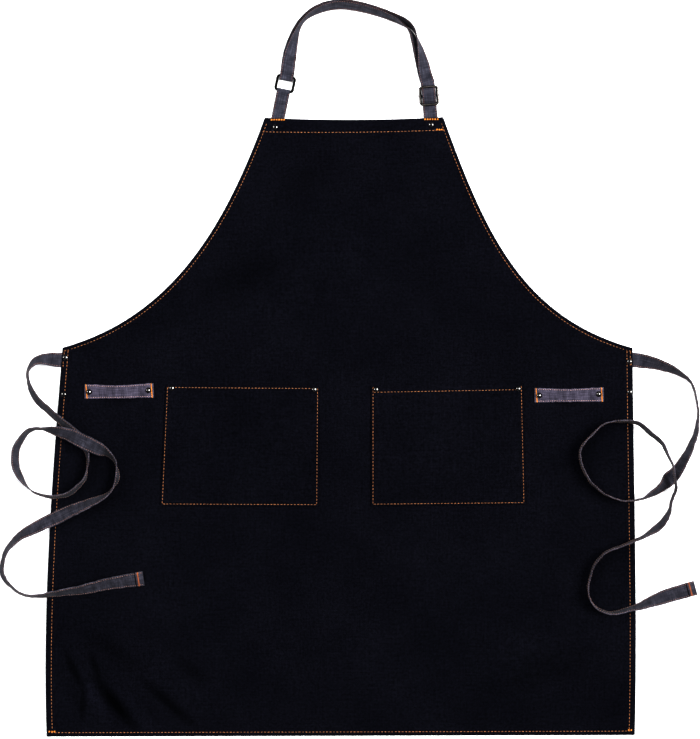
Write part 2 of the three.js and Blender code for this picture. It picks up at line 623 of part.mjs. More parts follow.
// One tape: from under the bib over the slider's middle bar, round the neck as the outer layer, round the
// ring and back as the inner layer, and at last round the slider's middle bar.
function neckStrap() {
  const pair = smoothRoute(NECK_ROUTE, ["tilt", "spread"], NECK_STEPS).map((station) => {
    const { center, forward, tilt, spread } = station;
    const turn = degToRad(tilt);
    const across = tiltedAcross(forward, turn);
    const normal = forward.clone().cross(across);
    const edgeRise = (STRAP_WIDTH / 2) * Math.abs(Math.sin(turn));
    center.z = FLOOR_GAP + edgeRise + ((spread + TAPE) / 2) * Math.abs(Math.cos(turn));
    const opening = Math.asin(Math.max(0, spread - STRAP_LAYERS) / STRAP_WIDTH);
    return { center, forward, across, normal, spread, lean: opening * Math.sin(turn) ** 2 };
  });
  const layer = ({ center, normal, across, spread, lean }, side) => ({
    center: center.clone().addScaledVector(normal, (side * spread) / 2),
    across: across.clone().multiplyScalar(Math.cos(lean)).addScaledVector(normal, side * Math.sin(lean)),
    returning: side < 0,
  });
  const ring = pair[0];
  const bend = Array.from({ length: BEND_STEPS - 1 }, (_, step) => {
    const angle = (Math.PI * (step + 1)) / BEND_STEPS;
    const center = ring.center.clone().addScaledVector(ring.normal, (-Math.cos(angle) * ring.spread) / 2);
    center.addScaledVector(ring.forward, (-Math.sin(angle) * ring.spread) / 2);
    return { center, across: ring.across };
  });
  const sliderAcross = new THREE.Vector3(-Math.cos(SLIDER.turn), -Math.sin(SLIDER.turn), 0);
  const atSlider = ({ along, z }) => ({ center: strapPoint(along, z), across: sliderAcross });
  const barHeight = SLIDER.z + SLIDER.thickness / 2;
  const wrap = Array.from({ length: BEND_STEPS + 2 }, (_, step) => {
    const angle = (Math.PI * step) / BEND_STEPS;
    return atSlider({
      along: MIDDLE_BAR_WRAP.along * Math.sin(angle),
      z: barHeight - MIDDLE_BAR_WRAP.z * Math.cos(angle),
    });
  });
  const stations = [
    ...STRAP_OVER_SLIDER.map(atSlider),
    ...pair.map((station) => layer(station, -1)).reverse(),
    ...bend,
    ...pair.map((station) => layer(station, 1)),
    ...STRAP_TO_MIDDLE_BAR.map(atSlider),
    ...wrap,
  ];
  return cutFrom(tapeStrip(stations, STRAP_WIDTH, TAPE), rivetHoles("neck_strap"));
}

function rivet({ x, y, plate = PLATE_UNDER_PANEL, seat = SEAT_ON_LAYER }) {
  const outline = [
    [0, plate],
    [RIVET.plate, plate],
    [RIVET.plate, plate + RIVET.plateThickness],
    [RIVET.shank, plate + RIVET.plateThickness],
    [RIVET.shank, seat],
    [RIVET.cap, seat],
    [RIVET.shoulder, seat + SHOULDER_SHARE * RIVET.dome],
    [0, seat + RIVET.dome],
  ];
  const profile = outline.map(([radius, height]) => new THREE.Vector2(radius, height));
  return new THREE.LatheGeometry(profile, RIVET.sides).rotateX(Math.PI / 2).translate(x, y, 0);
}

const apron = new THREE.Group();

function addPiece(name, geometry, look) {
  const piece = new THREE.Mesh(geometry, new THREE.MeshStandardMaterial(look));
  piece.name = name;
  apron.add(piece);
}

addPiece("body_panel", bodyPanel(), CANVAS_LOOK);
POCKETS.forEach((row) => addPiece(row.name, pocket(row), CANVAS_LOOK));
LOOPS.forEach((row) => addPiece(row.name, towelLoop(row), TAPE_LOOK));
addPiece("neck_tab", neckTab(), TAPE_LOOK);
addPiece("neck_ring", neckRing(), DARK_METAL_LOOK);
addPiece("neck_strap", neckStrap(), TAPE_LOOK);
addPiece("neck_slider", neckSlider(), NICKEL_LOOK);
Object.keys(TIE_ROUTES).forEach((name) => addPiece(name, tie(name), TAPE_LOOK));
RIVETS.forEach((row) => addPiece(row.name, rivet(row), NICKEL_LOOK));

export default apron;
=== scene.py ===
"""Bib apron laid flat and seen from above: cloth, tape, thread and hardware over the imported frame."""
import math
from types import SimpleNamespace as Sizes

import bpy
import numpy as np
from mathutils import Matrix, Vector, noise


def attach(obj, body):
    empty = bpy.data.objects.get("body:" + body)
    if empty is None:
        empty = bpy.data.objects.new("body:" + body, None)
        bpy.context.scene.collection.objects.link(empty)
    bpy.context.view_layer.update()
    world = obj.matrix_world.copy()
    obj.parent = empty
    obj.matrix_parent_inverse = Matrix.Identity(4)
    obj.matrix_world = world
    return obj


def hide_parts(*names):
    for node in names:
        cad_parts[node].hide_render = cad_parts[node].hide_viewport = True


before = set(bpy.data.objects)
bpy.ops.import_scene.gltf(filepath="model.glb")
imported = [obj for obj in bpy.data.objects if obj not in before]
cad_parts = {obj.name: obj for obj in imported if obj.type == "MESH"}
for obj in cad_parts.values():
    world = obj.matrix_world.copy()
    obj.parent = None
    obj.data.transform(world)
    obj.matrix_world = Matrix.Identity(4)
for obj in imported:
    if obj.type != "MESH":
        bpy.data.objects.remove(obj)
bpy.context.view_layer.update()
scene = bpy.context.scene

MM = 0.001
UP = Vector((0, 0, 1))

# Sizes in millimetres, as in the part's source
CLOTH = 1.2
TAPE = 1.2
HEM_FOLD = 2.4
PANEL_TOP = 3.6
ON_PANEL = 3.9
FLOOR_GAP = 0.2
TIE_WIDTH = 18
TAB_WIDTH = 16.5
STRAP_WIDTH = 17.2
TUCKED_LAYER = 1.45

EDGES = {
    "left": Sizes(inward=1, hem=(-368.4, -460), waist=(-348.5, 26.5), bib=(-95.6, 314),
                  bulges=(12.2, 6.6), reaches=(138, 152)),
    "right": Sizes(inward=-1, hem=(367, -458), waist=(364.3, 26), bib=(127.4, 314.8),
                   bulges=(4.8, 0.1), reaches=(145, 152)),
}
ARMHOLE_FOOT_ANGLE = math.radians(15.5)
ARMHOLE_HEAD_ANGLE = math.radians(20)
TOP_DIP = 3

# Soft folds: from, to, height and half width, and the shares of that width on the steep and the gentle side
FOLDS = [
    ((-347, -330), (-318, -446), 3.2, 12),
    ((-318, -335), (-262, -450), 3.6, 13),
    ((-262, -365), (-178, -450), 3.0, 15),
    ((170, -398), (320, -350), 2.6, 26),
    ((-128, 60), (60, 160), 2.4, 34),
]
FOLD_STEEP = 0.5
FOLD_GENTLE = 1.35

# Painted shade and painted light along the folds: dark patches on their shaded sides, lighter ones (tone
# above 1) on their lit sides; x, y, angle in degrees, half length, half width, tone
FOLD_SHADING_PATCHES = [
    (-333, -378, -64, 38, 8, 0.3), (-323, -420, -93, 27, 7, 0.4), (-307, -375, -72, 30, 7, 0.4),
    (-282, -419, -50, 48, 12, 0.06), (-215, -418, -42, 56, 10, 0.35), (-285, -352, -33, 52, 16, 0.6),
    (-186, -378, -39, 36, 13, 0.65), (-306, -416, -60, 42, 12, 1.5), (-256, -428, -48, 42, 12, 1.4),
    (245, -376, 18, 90, 26, 0.75), (-130, 112, 20, 70, 30, 0.7), (-47, 238, 35, 50, 26, 0.75),
]

# Seams of the panel's edges: how far in the stitches run, how wide the hem is, and how much it puckers
SEAMS = {f"{side}_side": Sizes(stitch=7.2, hem=8, pucker=0.4, spread=7) for side in EDGES}
SEAMS |= {f"{side}_armhole": Sizes(stitch=4.7, hem=8, pucker=0.4, spread=6) for side in EDGES}
SEAMS["bottom"] = Sizes(stitch=5.0, hem=8, pucker=0.4, spread=7)
SEAMS["top"] = Sizes(stitch=15.0, hem=18, pucker=0.7, spread=12)

POCKETS = {
    "pocket_left": Sizes(mouth=((-219, -21), (-27.5, -22.4)), foot=((-226, -171), (-28.6, -171.9)),
                         mouth_stitch=(2.3, 2.3)),
    "pocket_right": Sizes(mouth=((37.6, -20.6), (226.9, -19.6)), mouth_stitch=(8.8, 6.4),
                          foot=((37.5, -171.3), (230.3, -169.3))),
}
POCKET_WIDTH = 191
POCKET_HEIGHT = 150
POCKET_GAPE = 9
POCKET_SEAM = 2.1

LOOPS = {
    "towel_loop_left": Sizes(start=(-321, -28.6), end=(-234.4, -27.1), bow=-1),
    "towel_loop_right": Sizes(start=(241.4, -33.2), end=(328.1, -32.3), bow=-0.5),
}
LOOP_RISE = 7
LOOP_FLAT_SHARE = 0.16

# Rivets: height of the back plate and of the cap's seat, height of the dome, lean to the right, places
RIVETS = [
    (0, 3.9, 1.9, 0, {"bib_left": (-82.5, 302), "bib_right": (112.4, 305)}),
    (0, 3.9, 1.9, 0.1, {"side_left_upper": (-344.8, 14)}),
    (0, 3.9, 1.9, 0, {"side_right_upper": (360.3, 9), "side_left_lower": (-347, -32),
                      "side_right_lower": (360.5, -29)}),
    (1.6, 5.7, 2.1, 0.12, {"pocket_left_a": (-211.5, -24.2), "pocket_left_b": (-33.5, -26),
                           "pocket_right_a": (43.8, -26), "pocket_right_b": (221.5, -25)}),
    (1.6, 5.7, 2.4, 0.16, {"loop_left_a": (-315, -28.9), "loop_left_b": (-240.8, -26.9),
                           "loop_right_a": (247.5, -33.4), "loop_right_b": (321.8, -31.6)}),
]
RIVET_SIDES = 32
CAP_RADIUS = 3.5
CAP_RIM = 0.3
CAP_STEPS = 10
SHANK_RADIUS = 1.5
PLATE_RADIUS = 3.1
PLATE_THICKNESS = 0.5
PLATE_EDGE = Sizes(inset=0.2, low=0.15, high=0.4)
CAP_EDGE = 0.1
TIP_RADIUS = 0.02

RING = Sizes(x=-70.1, y=356.6, z=2.9, turn=math.radians(-12), width=24.2, height=21.2, wire=1.2, corner=3)
RING_SIDES = 18
RING_CORNER_STEPS = 12
RING_PLATING = 0.15
RING_SIDE_SWELL = 1.8
TAB_EDGE = (-79.3, 313.2)
TAB_FRONT = [(53, TUCKED_LAYER), (37, TUCKED_LAYER), (33, 1.7), (27, 2.6), (17.6, 3.7), (4, 4.9)]
TAB_BACK = [(6, 0.8), (27, 0.8)]
TAPE_BEND = 2.1
BEND_STEPS = 6

SLIDER = Sizes(x=109.5, y=341.3, z=3.6, turn=math.radians(4.9), width=25, height=25,
               bar=2.6, side=3.5, middle=3, thickness=2, corner=5)
SLIDER_SIDES = 20
SLIDER_CORNER_STEPS = 10
MIDDLE_BAR_STEPS = 12
MIDDLE_BAR_OVERLAP = 0.4
MIDDLE_BAR_SHARE = 0.92
STRAP_OVER_SLIDER = [
    (46, TUCKED_LAYER), (30, TUCKED_LAYER), (20, 1.5), (12.5, 1.7), (9.9, 2.3), (7.5, 4), (5, 6.4),
    (2.5, 8.1), (0, 8.6), (-2.5, 8.1), (-5, 6.4), (-7.5, 4), (-9.9, 2.5), (-12.5, 2.4),
]
STRAP_TO_MIDDLE_BAR = [(-12.5, 0.8), (-8, 0.9), (-4, 1.5)]
MIDDLE_BAR_WRAP = (3, 2.3)

# Route of the doubled neck strap: x, y, tilt of the outer edge, spread of the two layers.
# Where it stands on edge the layers open like a V, whose lower edges stay as near as STRAP_LAYERS.
STRAP_LAYERS = 1.35
NECK_ROUTE = [
    (-68.8, 362.7, 0, 4.2), (-67.3, 371.5, 0, 4.2), (-65.4, 386, 15, 2.4), (-60.6, 408, 48, 1.8),
    (-54.3, 426, 73, 1.8), (-47.6, 436, 78, 1.8), (-36.6, 444.8, 70, 1.8), (-20, 452, 61, 1.8),
    (1, 455, 57, 1.8), (21, 452.3, 59, 1.8), (42, 446.9, 62, 1.8), (63.6, 439, 68, 2.4), (79, 431, 80, 4.4),
    (88.6, 422, 95, 4.8), (95, 405, 116, 4.4), (100.2, 386, 142, 3.6), (104.4, 369, 168, 2),
    (108, 358.2, 180, 1.6),
]

# Routes of the waist ties: x, y, tilt of the left-hand edge, and what the lower edge lies on if not the panel
ROOT = 0.65
BAND = 23
TIES = {
    "tie_left": [
        (-335, 11, 0, ROOT), (-352, 11, 0, ROOT), (-370, 12, 38, 0), (-383, 8.5, 57, 0), (-392, -7, 75, 0),
        (-383, -33, 62, 0), (-366, -51, 58), (-350, -65, 58), (-337, -77, 46), (-326, -89, 28),
        (-318.5, -103, 68), (-316, -120, 80), (-321, -138, 98), (-339, -155, 106), (-364, -160, 105),
        (-387, -151, 98, 0), (-402, -134, 71, 0), (-407.2, -113, 64, 0), (-403, -93, 68, 0),
        (-389.8, -78.5, 76, 3), (-374.5, -74, 80, 7), (-357, -77.5, 52, 11), (-339, -82, 28, 17),
        (-321, -90, 6, BAND), (-304, -98, 16, 21), (-290.5, -105.5, 60, 9), (-281, -120, 82),
        (-279, -136, 102), (-287.5, -152, 82), (-306.5, -164.5, 62), (-328, -173, 42), (-354, -185, 24),
        (-381, -198, 37), (-403.5, -210.5, 57, 0), (-420.3, -231.5, 70, 0), (-422.5, -256, 66, 0),
        (-402, -281, 76, 0), (-374, -283, 71), (-316, -274, 42), (-282, -267, 28), (-247, -262, 0),
    ],
    "tie_right": [
        (350, 11, 0, ROOT), (367, 11, 0, ROOT), (391, 6.5, 37, 0), (410.5, 0, 58, 0), (424, -6.5, 73, 0),
        (436, -18, 88, 0), (445.5, -48, 93, 0), (442, -80, 81, 0), (432, -106.5, 65, 0), (418, -129, 41, 0),
        (402.5, -145.5, -42, 0), (390, -154, -58, 0), (375, -162.5, -80), (353, -165, -88),
        (332, -158, -88), (314, -145, -88), (302, -125, -88), (299, -103, -89), (312, -82, -92),
        (334, -68, -95), (353, -64.5, -98), (372, -70, -103), (392, -85.5, -102, 3), (407.5, -108, -94, 8),
        (414, -130, -90, 9), (416, -150, -92, 6), (412, -168, -92, 1), (405, -186, -105, 0),
        (394, -199.5, -112, 0), (377, -209, -95), (352, -219, -92), (328, -230, -90), (313, -250, -88),
        (307, -272, -87), (313, -293, -86), (329, -304, -85), (351, -302, -81), (375, -295, -64),
        (407, -284, -24, 1), (443, -274, 0, 0),
    ],
}
TIE_STEPS = 11
STRAP_STEPS = 7
TIE_END_FOLD = 10.7
TIE_END_LINE = 10.3
TIE_END_BAR = 6.8
TIE_END_STATIONS = 12

# Stitches: spacing, length, radius and how high the thread lies on the cloth
PANEL_STITCH = Sizes(pitch=4.3, length=3, radius=0.44, lift=0.25)
POCKET_STITCH = Sizes(pitch=4.2, length=3, radius=0.42, lift=0.22)
TAPE_STITCH = Sizes(pitch=2.9, length=1.85, radius=0.38, lift=0.13)
PANEL_BAR = Sizes(pitch=3.1, length=2.4, radius=0.38, rows=(-0.6, 0, 0.6), slant=0.15)
TAPE_BAR = Sizes(pitch=0.75, radius=0.4, lift=0.2, reach=0.95, slant=0.2)

# Ends of the panel's rows of stitches, and how far the top one sags
SIDE_STITCHES = (-453, 25)
ARMHOLE_STITCHES_TOP = 309.5
BOTTOM_STITCHES_REACH = 365
TOP_STITCHES = ((-99.6, 296.3), (130, 298.6))
TOP_STITCHES_SAG = 1.8
TOP_STITCHES_STEPS = 60

# Bar tacks on the panel: from, to
BAR_TACKS = [
    ((-88.8, 311.3), (-69.9, 311.3)), ((103.1, 311.9), (122.1, 311.9)), ((118.4, 299.1), (127, 299.1)),
    ((-366.6, -453.6), (-357, -453.6)), ((358, -451.6), (364, -451.6)),
]

# Short runs of stitches that hold the ties: from, to
TIE_STITCHES = [
    ((-347.6, 22.2), (-339.6, 22.6)), ((-347.6, 9.4), (-347.8, 1.8)), ((-346.4, 21), (-346.4, 17.6)),
    ((361.4, 22), (361.2, 3.2)), ((362.2, 14), (362.4, 3.4)),
]


# Camera, light and floor: the photo's middle and height in millimetres, and all else in metres

PHOTO_VIEW = Sizes(x=10.9, y=-0.9, height=923.75)
CAMERA_HEIGHT = 3.2
# Suns: place, strength, spread in degrees
SUNS = {"key_right": ((1.2, 0.2, 1.6), 5.2, 30), "fill_left": ((-1.2, 0.32, 1.6), 2.1, 26)}
SOFTBOX = Sizes(place=(0, 0.95, 1.25), target=(0, 0.2, 0), size=(1.4, 0.7), power=18)
SKY_COLOUR = (0.9, 0.93, 1, 1)
SKY_STRENGTH = 0.22
DISPLAY_GAMMA = 0.75
FLOOR_REACH = 60
FLOOR_LEVEL = -0.0003


def add_object(name, data):
    item = bpy.data.objects.new(name, data)
    scene.collection.objects.link(item)
    return item


def add_camera():
    camera = add_object("camera", bpy.data.cameras.new("camera"))
    view_height = PHOTO_VIEW.height * MM
    camera.data.lens = camera.data.sensor_width * (CAMERA_HEIGHT - PANEL_TOP * MM) / view_height
    camera.location = (PHOTO_VIEW.x * MM, PHOTO_VIEW.y * MM, CAMERA_HEIGHT)
    scene.camera = camera


def add_lamp(name, kind, power, place, target=(0, 0, 0)):
    lamp = add_object(name, bpy.data.lights.new(name, kind))
    lamp.data.energy = power
    lamp.location = place
    lamp.rotation_mode = "QUATERNION"
    lamp.rotation_quaternion = (Vector(place) - Vector(target)).to_track_quat("Z", "Y")
    return lamp


def add_light():
    for name, (place, strength, spread) in SUNS.items():
        add_lamp(name, "SUN", strength, place).data.angle = math.radians(spread)
    softbox = add_lamp("neck_softbox", "AREA", SOFTBOX.power, SOFTBOX.place, SOFTBOX.target)
    softbox.data.shape = "RECTANGLE"
    softbox.data.size, softbox.data.size_y = SOFTBOX.size
    softbox.visible_glossy = False
    world = bpy.data.worlds.new("studio")
    world.use_nodes = True
    background = world.node_tree.nodes["Background"]
    background.inputs["Color"].default_value = SKY_COLOUR
    background.inputs["Strength"].default_value = SKY_STRENGTH
    scene.world = world
    scene.view_settings.view_transform = "Standard"
    scene.view_settings.look = "None"
    scene.view_settings.gamma = DISPLAY_GAMMA


# Materials


class Look:
    """A material with its own node tree and a short way to add and join nodes."""

    def __init__(self, name):
        self.material = bpy.data.materials.new(name)
        self.material.use_nodes = True
        self.tree = self.material.node_tree
        self.shader = self.tree.nodes["Principled BSDF"]

    def add(self, kind, inputs=None, **settings):
        node = self.tree.nodes.new(kind)
        for key, value in settings.items():
            setattr(node, key, value)
        for socket, value in (inputs or {}).items():
            self.put(node.inputs[socket], value)
        return node

    def put(self, socket, value):
        if isinstance(value, bpy.types.NodeSocket):
            self.tree.links.new(value, socket)
        else:
            socket.default_value = value

    def shade(self, **values):
        for name, value in values.items():
            self.put(self.shader.inputs[name.replace("_", " ")], value)

    def coordinates(self, source, scale=(1, 1, 1)):
        place = self.add("ShaderNodeTexCoord").outputs[source]
        return self.add("ShaderNodeMapping", {"Vector": place, "Scale": scale}).outputs["Vector"]

    def noise(self, source, scale, detail=2.0, roughness=0.5):
        """Noise on the object or its UV map, with one scale for all axes or one for each."""
        stretch, scale = (scale, 1) if isinstance(scale, tuple) else ((1, 1, 1), scale)
        values = {"Vector": self.coordinates(source, stretch), "Scale": scale, "Detail": detail,
                  "Roughness": roughness}
        return self.add("ShaderNodeTexNoise", values).outputs["Fac"]

    def wave(self, source, scale, direction, distortion):
        values = {"Vector": self.coordinates(source), "Scale": scale, "Distortion": distortion,
                  "Detail": 1.5, "Detail Scale": 1.5}
        return self.add("ShaderNodeTexWave", values, bands_direction=direction).outputs["Fac"]

    def math(self, operation, a, b=0.0, c=0.0):
        return self.add("ShaderNodeMath", {0: a, 1: b, 2: c}, operation=operation).outputs["Value"]

    def patch(self, x, y, angle, half_length, half_width):
        """A soft ellipse on the object: 1 in its middle and 0 outside."""
        values = {"Vector": self.add("ShaderNodeTexCoord").outputs["Object"], "Location": (x * MM, y * MM, 0),
                  "Rotation": (0, 0, math.radians(angle)), "Scale": (half_length * MM, half_width * MM, 1)}
        place = self.add("ShaderNodeMapping", values, vector_type="TEXTURE").outputs["Vector"]
        return self.add("ShaderNodeTexGradient", {"Vector": place}, gradient_type="SPHERICAL").outputs["Fac"]

    def ramp(self, factor, stops):
        """Colours, or greys given as one number, over the factor."""
        node = self.add("ShaderNodeValToRGB", {"Fac": factor})
        elements = node.color_ramp.elements
        while len(elements) < len(stops):
            elements.new(0.5)
        for element, (place, colour) in zip(elements, stops):
            element.position = place
            element.color = (*colour, 1) if isinstance(colour, tuple) else (colour, colour, colour, 1)
        return node.outputs["Color"]

    def tint(self, colour, factor):
        node = self.add("ShaderNodeMix", data_type="RGBA", blend_type="MULTIPLY")
        sockets = {socket.identifier: socket for socket in node.inputs}
        for key, value in (("Factor_Float", 1.0), ("A_Color", colour), ("B_Color", factor)):
            self.put(sockets[key], value)
        return next(socket for socket in node.outputs if socket.identifier == "Result_Color")

    def bump(self, height, strength, distance, under=None):
        values = {"Height": height, "Strength": strength, "Distance": distance * MM}
        if under is not None:
            values["Normal"] = under
        return self.add("ShaderNodeBump", values).outputs["Normal"]


def canvas_look():
    look = Look("black_canvas")
    twill = look.wave("Object", 440, "DIAGONAL", 0.8)
    warp = look.noise("Object", (820, 36, 36), 3, 0.6)
    weft = look.noise("Object", (36, 820, 36), 3, 0.6)
    mottle = look.noise("Object", 330, 4, 0.65)
    cloud = look.noise("Object", 11, 5, 0.55)
    yarns = look.math("MULTIPLY", look.math("ADD", warp, weft), 0.35)
    weave = look.math("ADD", yarns, look.math("MULTIPLY", twill, 0.3))
    thread = look.ramp(weave, [(0.3, (0.001, 0.001, 0.0018)), (0.7, (0.0048, 0.0049, 0.0086))])
    wear_and_crease_shade = look.tint(thread, look.ramp(cloud, [(0.3, (0.74, 0.74, 0.78)), (0.7, (1.3, 1.3, 1.26))]))
    mottle_and_fold_shading = look.tint(wear_and_crease_shade, look.ramp(mottle, [(0.35, 0.6), (0.65, 1.5)]))
    # Painted shade and light of the folds, multiplied into the cloth's colour
    for *ellipse, tone in FOLD_SHADING_PATCHES:
        mottle_and_fold_shading = look.tint(mottle_and_fold_shading, look.ramp(look.patch(*ellipse), [(0, 1), (0.75, tone)]))
    look.shade(Base_Color=mottle_and_fold_shading, Normal=look.bump(weave, 0.5, 0.25), Roughness=0.9,
               Specular_IOR_Level=0.04, Specular_Tint=(0.7, 0.76, 1, 1), Sheen_Weight=0.02,
               Sheen_Roughness=0.45, Sheen_Tint=(0.25, 0.27, 0.4, 1))
    return look.material


# Half the width of any tape in the UV map, in millimetres
UV_HALF = 9


def tape_look(name, painted_edge_tone, dark, middle, light):
    """Chambray with streaks along it, soft creases across that carry painted shade and light, edges painted
    lighter as a highlight or darker as shade, and a painted shadow line where a turned end folds.
    """
    look = Look(name)
    warp = look.noise("UV", (2400, 70, 1), 3, 0.6)
    slub = look.noise("UV", (620, 38, 1), 4, 0.65)
    weft = look.noise("UV", (90, 900, 1), 3, 0.6)
    cloud = look.noise("UV", (90, 60, 1), 3)
    crease = look.noise("UV", (38, 115, 1))
    knot = look.noise("UV", (30, 210, 1))
    along = look.math("ADD", look.math("MULTIPLY", warp, 0.25), look.math("MULTIPLY", slub, 0.45))
    weave = look.math("ADD", along, look.math("MULTIPLY", weft, 0.3))
    yarn = look.ramp(weave, [(0.34, dark), (0.5, middle), (0.66, light)])
    faded = look.tint(yarn, look.ramp(cloud, [(0.3, 0.8), (0.7, 1.16)]))
    # Painted shade and light of the creases: the noise that bumps the tape also darkens and lightens its
    # colour
    wear_and_crease_shade = look.tint(faded, look.ramp(crease, [(0.34, (0.68, 0.68, 0.7)), (0.62, (1.16, 1.16, 1.15))]))
    place = look.coordinates("UV", (1 / (UV_HALF * MM), 1, 1))
    across, along = look.add("ShaderNodeSeparateXYZ", {"Vector": place}).outputs[:2]
    # Painted highlight on the pale looks and painted shade on the dark look, along both edges of the tape
    rim = look.math("MULTIPLY", look.math("ABSOLUTE", across), look.math("MULTIPLY_ADD", knot, 0.4, 0.8))
    edge_painted = look.tint(wear_and_crease_shade, look.ramp(rim, [(0.9, 1), (1, painted_edge_tone)]))
    # Painted shadow: a dark line across the tie where its turned end folds
    turned = look.math("ABSOLUTE", look.math("ADD", along, TIE_END_LINE * MM))
    shaded = look.ramp(look.math("DIVIDE", turned, MM), [(0.45, 0.08), (0.85, 1)])
    creased = look.bump(crease, 0.8, 3)
    look.shade(Base_Color=look.tint(edge_painted, shaded), Roughness=0.88, Specular_IOR_Level=0.12,
               Normal=look.bump(weave, 0.5, 0.3, creased), Sheen_Weight=0.05, Sheen_Roughness=0.5)
    return look.material


def thread_look(name, dark, light):
    look = Look(name)
    strand = look.noise("Object", 230, 4, 0.7)
    twist = look.noise("Object", 2600)
    look.shade(Base_Color=look.ramp(strand, [(0.3, dark), (0.7, light)]), Normal=look.bump(twist, 0.4, 0.15),
               Roughness=0.6, Specular_IOR_Level=0.3, Sheen_Weight=0.1)
    return look.material


def metal_look(name, dark, light, smooth, rough, grazing=1.0):
    look = Look(name)
    tarnish = look.noise("Object", 420, 4, 0.6)
    scratch = look.noise("Object", (300, 2600, 900))
    look.shade(Base_Color=look.ramp(tarnish, [(0.35, dark), (0.65, light)]), Metallic=1.0,
               Roughness=look.math("MULTIPLY_ADD", tarnish, rough - smooth, smooth),
               Specular_Tint=(grazing, grazing, grazing, 1), Normal=look.bump(scratch, 0.06, 0.05))
    return look.material


def floor_look():
    look = Look("pale_floor")
    grain = look.noise("Object", 30, 3)
    look.shade(Base_Color=look.ramp(grain, [(0, 0.9), (1, 0.93)]), Roughness=0.85,
               Specular_IOR_Level=0.1, Emission_Color=(1, 1, 1, 1), Emission_Strength=0.4)
    return look.material


CANVAS = canvas_look()
# Edge tones: a painted highlight on the edges of the ties and loops, painted shade on those of the tab and
# strap
EDGE_HIGHLIGHT, EDGE_SHADE = (2.2, 2.08, 2.0), (0.25, 0.25, 0.28)
# One chambray in three copies: painted lighter as lit on the loops, painted darker as shaded on the ties and
# on the tab and strap
LIT_CHAMBRAY = tape_look("lit_chambray", EDGE_HIGHLIGHT, (0.019, 0.0175, 0.0245), (0.057, 0.051, 0.073),
                          (0.138, 0.121, 0.17))
SHADED_TIE_CHAMBRAY = tape_look("shaded_tie_chambray", EDGE_HIGHLIGHT, (0.0095, 0.0096, 0.013), (0.0285, 0.028, 0.038),
                         (0.073, 0.07, 0.092))
SHADED_STRAP_CHAMBRAY = tape_look("shaded_strap_chambray", EDGE_SHADE, (0.0122, 0.0124, 0.017), (0.036, 0.036, 0.049),
                           (0.092, 0.09, 0.119))
ORANGE_THREAD = thread_look("orange_thread", (0.13, 0.047, 0.015), (0.48, 0.2, 0.075))
BRIGHT_THREAD = thread_look("bright_orange_thread", (0.34, 0.105, 0.01), (0.85, 0.33, 0.04))
RUST_THREAD = thread_look("rust_thread", (0.11, 0.045, 0.033), (0.28, 0.13, 0.1))
RED_THREAD = thread_look("red_orange_thread", (0.15, 0.04, 0.012), (0.42, 0.125, 0.04))
TIE_THREAD = thread_look("dusty_pink_thread", (0.13, 0.07, 0.055), (0.38, 0.21, 0.17))
PALE_THREAD = thread_look("pink_thread", (0.24, 0.14, 0.13), (0.6, 0.4, 0.385))
NICKEL = metal_look("nickel", (0.06, 0.056, 0.054), (0.12, 0.112, 0.108), 0.1, 0.2)
# A paler nickel that paints a highlight along the slider's crests
CREST_HIGHLIGHT_NICKEL = metal_look("crest_highlight_nickel", (0.13, 0.118, 0.105), (0.27, 0.245, 0.22), 0.3, 0.4)
BLACK_NICKEL = metal_look("black_nickel", (0.075, 0.072, 0.07), (0.15, 0.145, 0.142), 0.08, 0.14)
# Black metal of the ring, also used as painted shade inside the slider's slots
GUNMETAL_AND_SLOT_SHADE = metal_look("gunmetal_and_slot_shade", (0.003, 0.003, 0.003), (0.008, 0.008, 0.008), 0.4, 0.55, grazing=0.03)


# Meshes and pieces


def make_piece(name, points, faces, materials, uvs=None, face_materials=None, sharp_faces=()):
    """A smooth mesh from points in millimetres, riding on the part."""
    mesh = bpy.data.meshes.new(name)
    mesh.from_pydata([(x * MM, y * MM, z * MM) for x, y, z in points], [], faces)
    for look in materials:
        mesh.materials.append(look)
    smooth = np.ones(len(mesh.polygons), dtype=bool)
    smooth[list(sharp_faces)] = False
    mesh.polygons.foreach_set("use_smooth", smooth)
    if face_materials is not None:
        mesh.polygons.foreach_set("material_index", face_materials)
    if uvs is not None:
        corner = np.empty(len(mesh.loops), dtype=np.int32)
        mesh.loops.foreach_get("vertex_index", corner)
        layer = mesh.uv_layers.new(name="weave")
        layer.data.foreach_set("uv", (np.asarray(uvs)[corner] * MM).ravel())
    mesh.update()
    piece = add_object(name, mesh)
    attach(piece, "root")
    return piece


def sheet_faces(rows, columns):
    """Faces of a closed sheet whose points are a top grid followed by an underside grid."""
    under = rows * columns
    faces = []
    for r in range(rows - 1):
        for c in range(columns - 1):
            a = r * columns + c
            quad = (a, a + 1, a + columns + 1, a + columns)
            faces.append(quad)
            faces.append(tuple(under + i for i in reversed(quad)))
    rim = list(range(columns))
    rim += [r * columns + columns - 1 for r in range(1, rows)]
    rim += [(rows - 1) * columns + c for c in range(columns - 2, -1, -1)]
    rim += [r * columns for r in range(rows - 2, 0, -1)]
    for a, b in zip(rim, rim[1:] + rim[:1]):
        faces.append((b, a, under + a, under + b))
    return faces


def tube_faces(rings, sides, first=0):
    """Faces of a capped tube whose points are its rings, one after another."""
    faces = []
    for start in range(first, first + (rings - 1) * sides, sides):
        for k in range(sides):
            a, b = start + k, start + (k + 1) % sides
            faces.append((a, b, b + sides, a + sides))
    last = first + (rings - 1) * sides
    return [*faces, tuple(range(first + sides - 1, first - 1, -1)), tuple(range(last, last + sides))]


def full_turn(sides):
    return [2 * math.pi * k / sides for k in range(sides)]


# Curves


def bezier(points, t):
    a, b, c, d = points
    s = 1 - t
    return a * s ** 3 + 3 * b * s * s * t + 3 * c * s * t * t + d * t ** 3


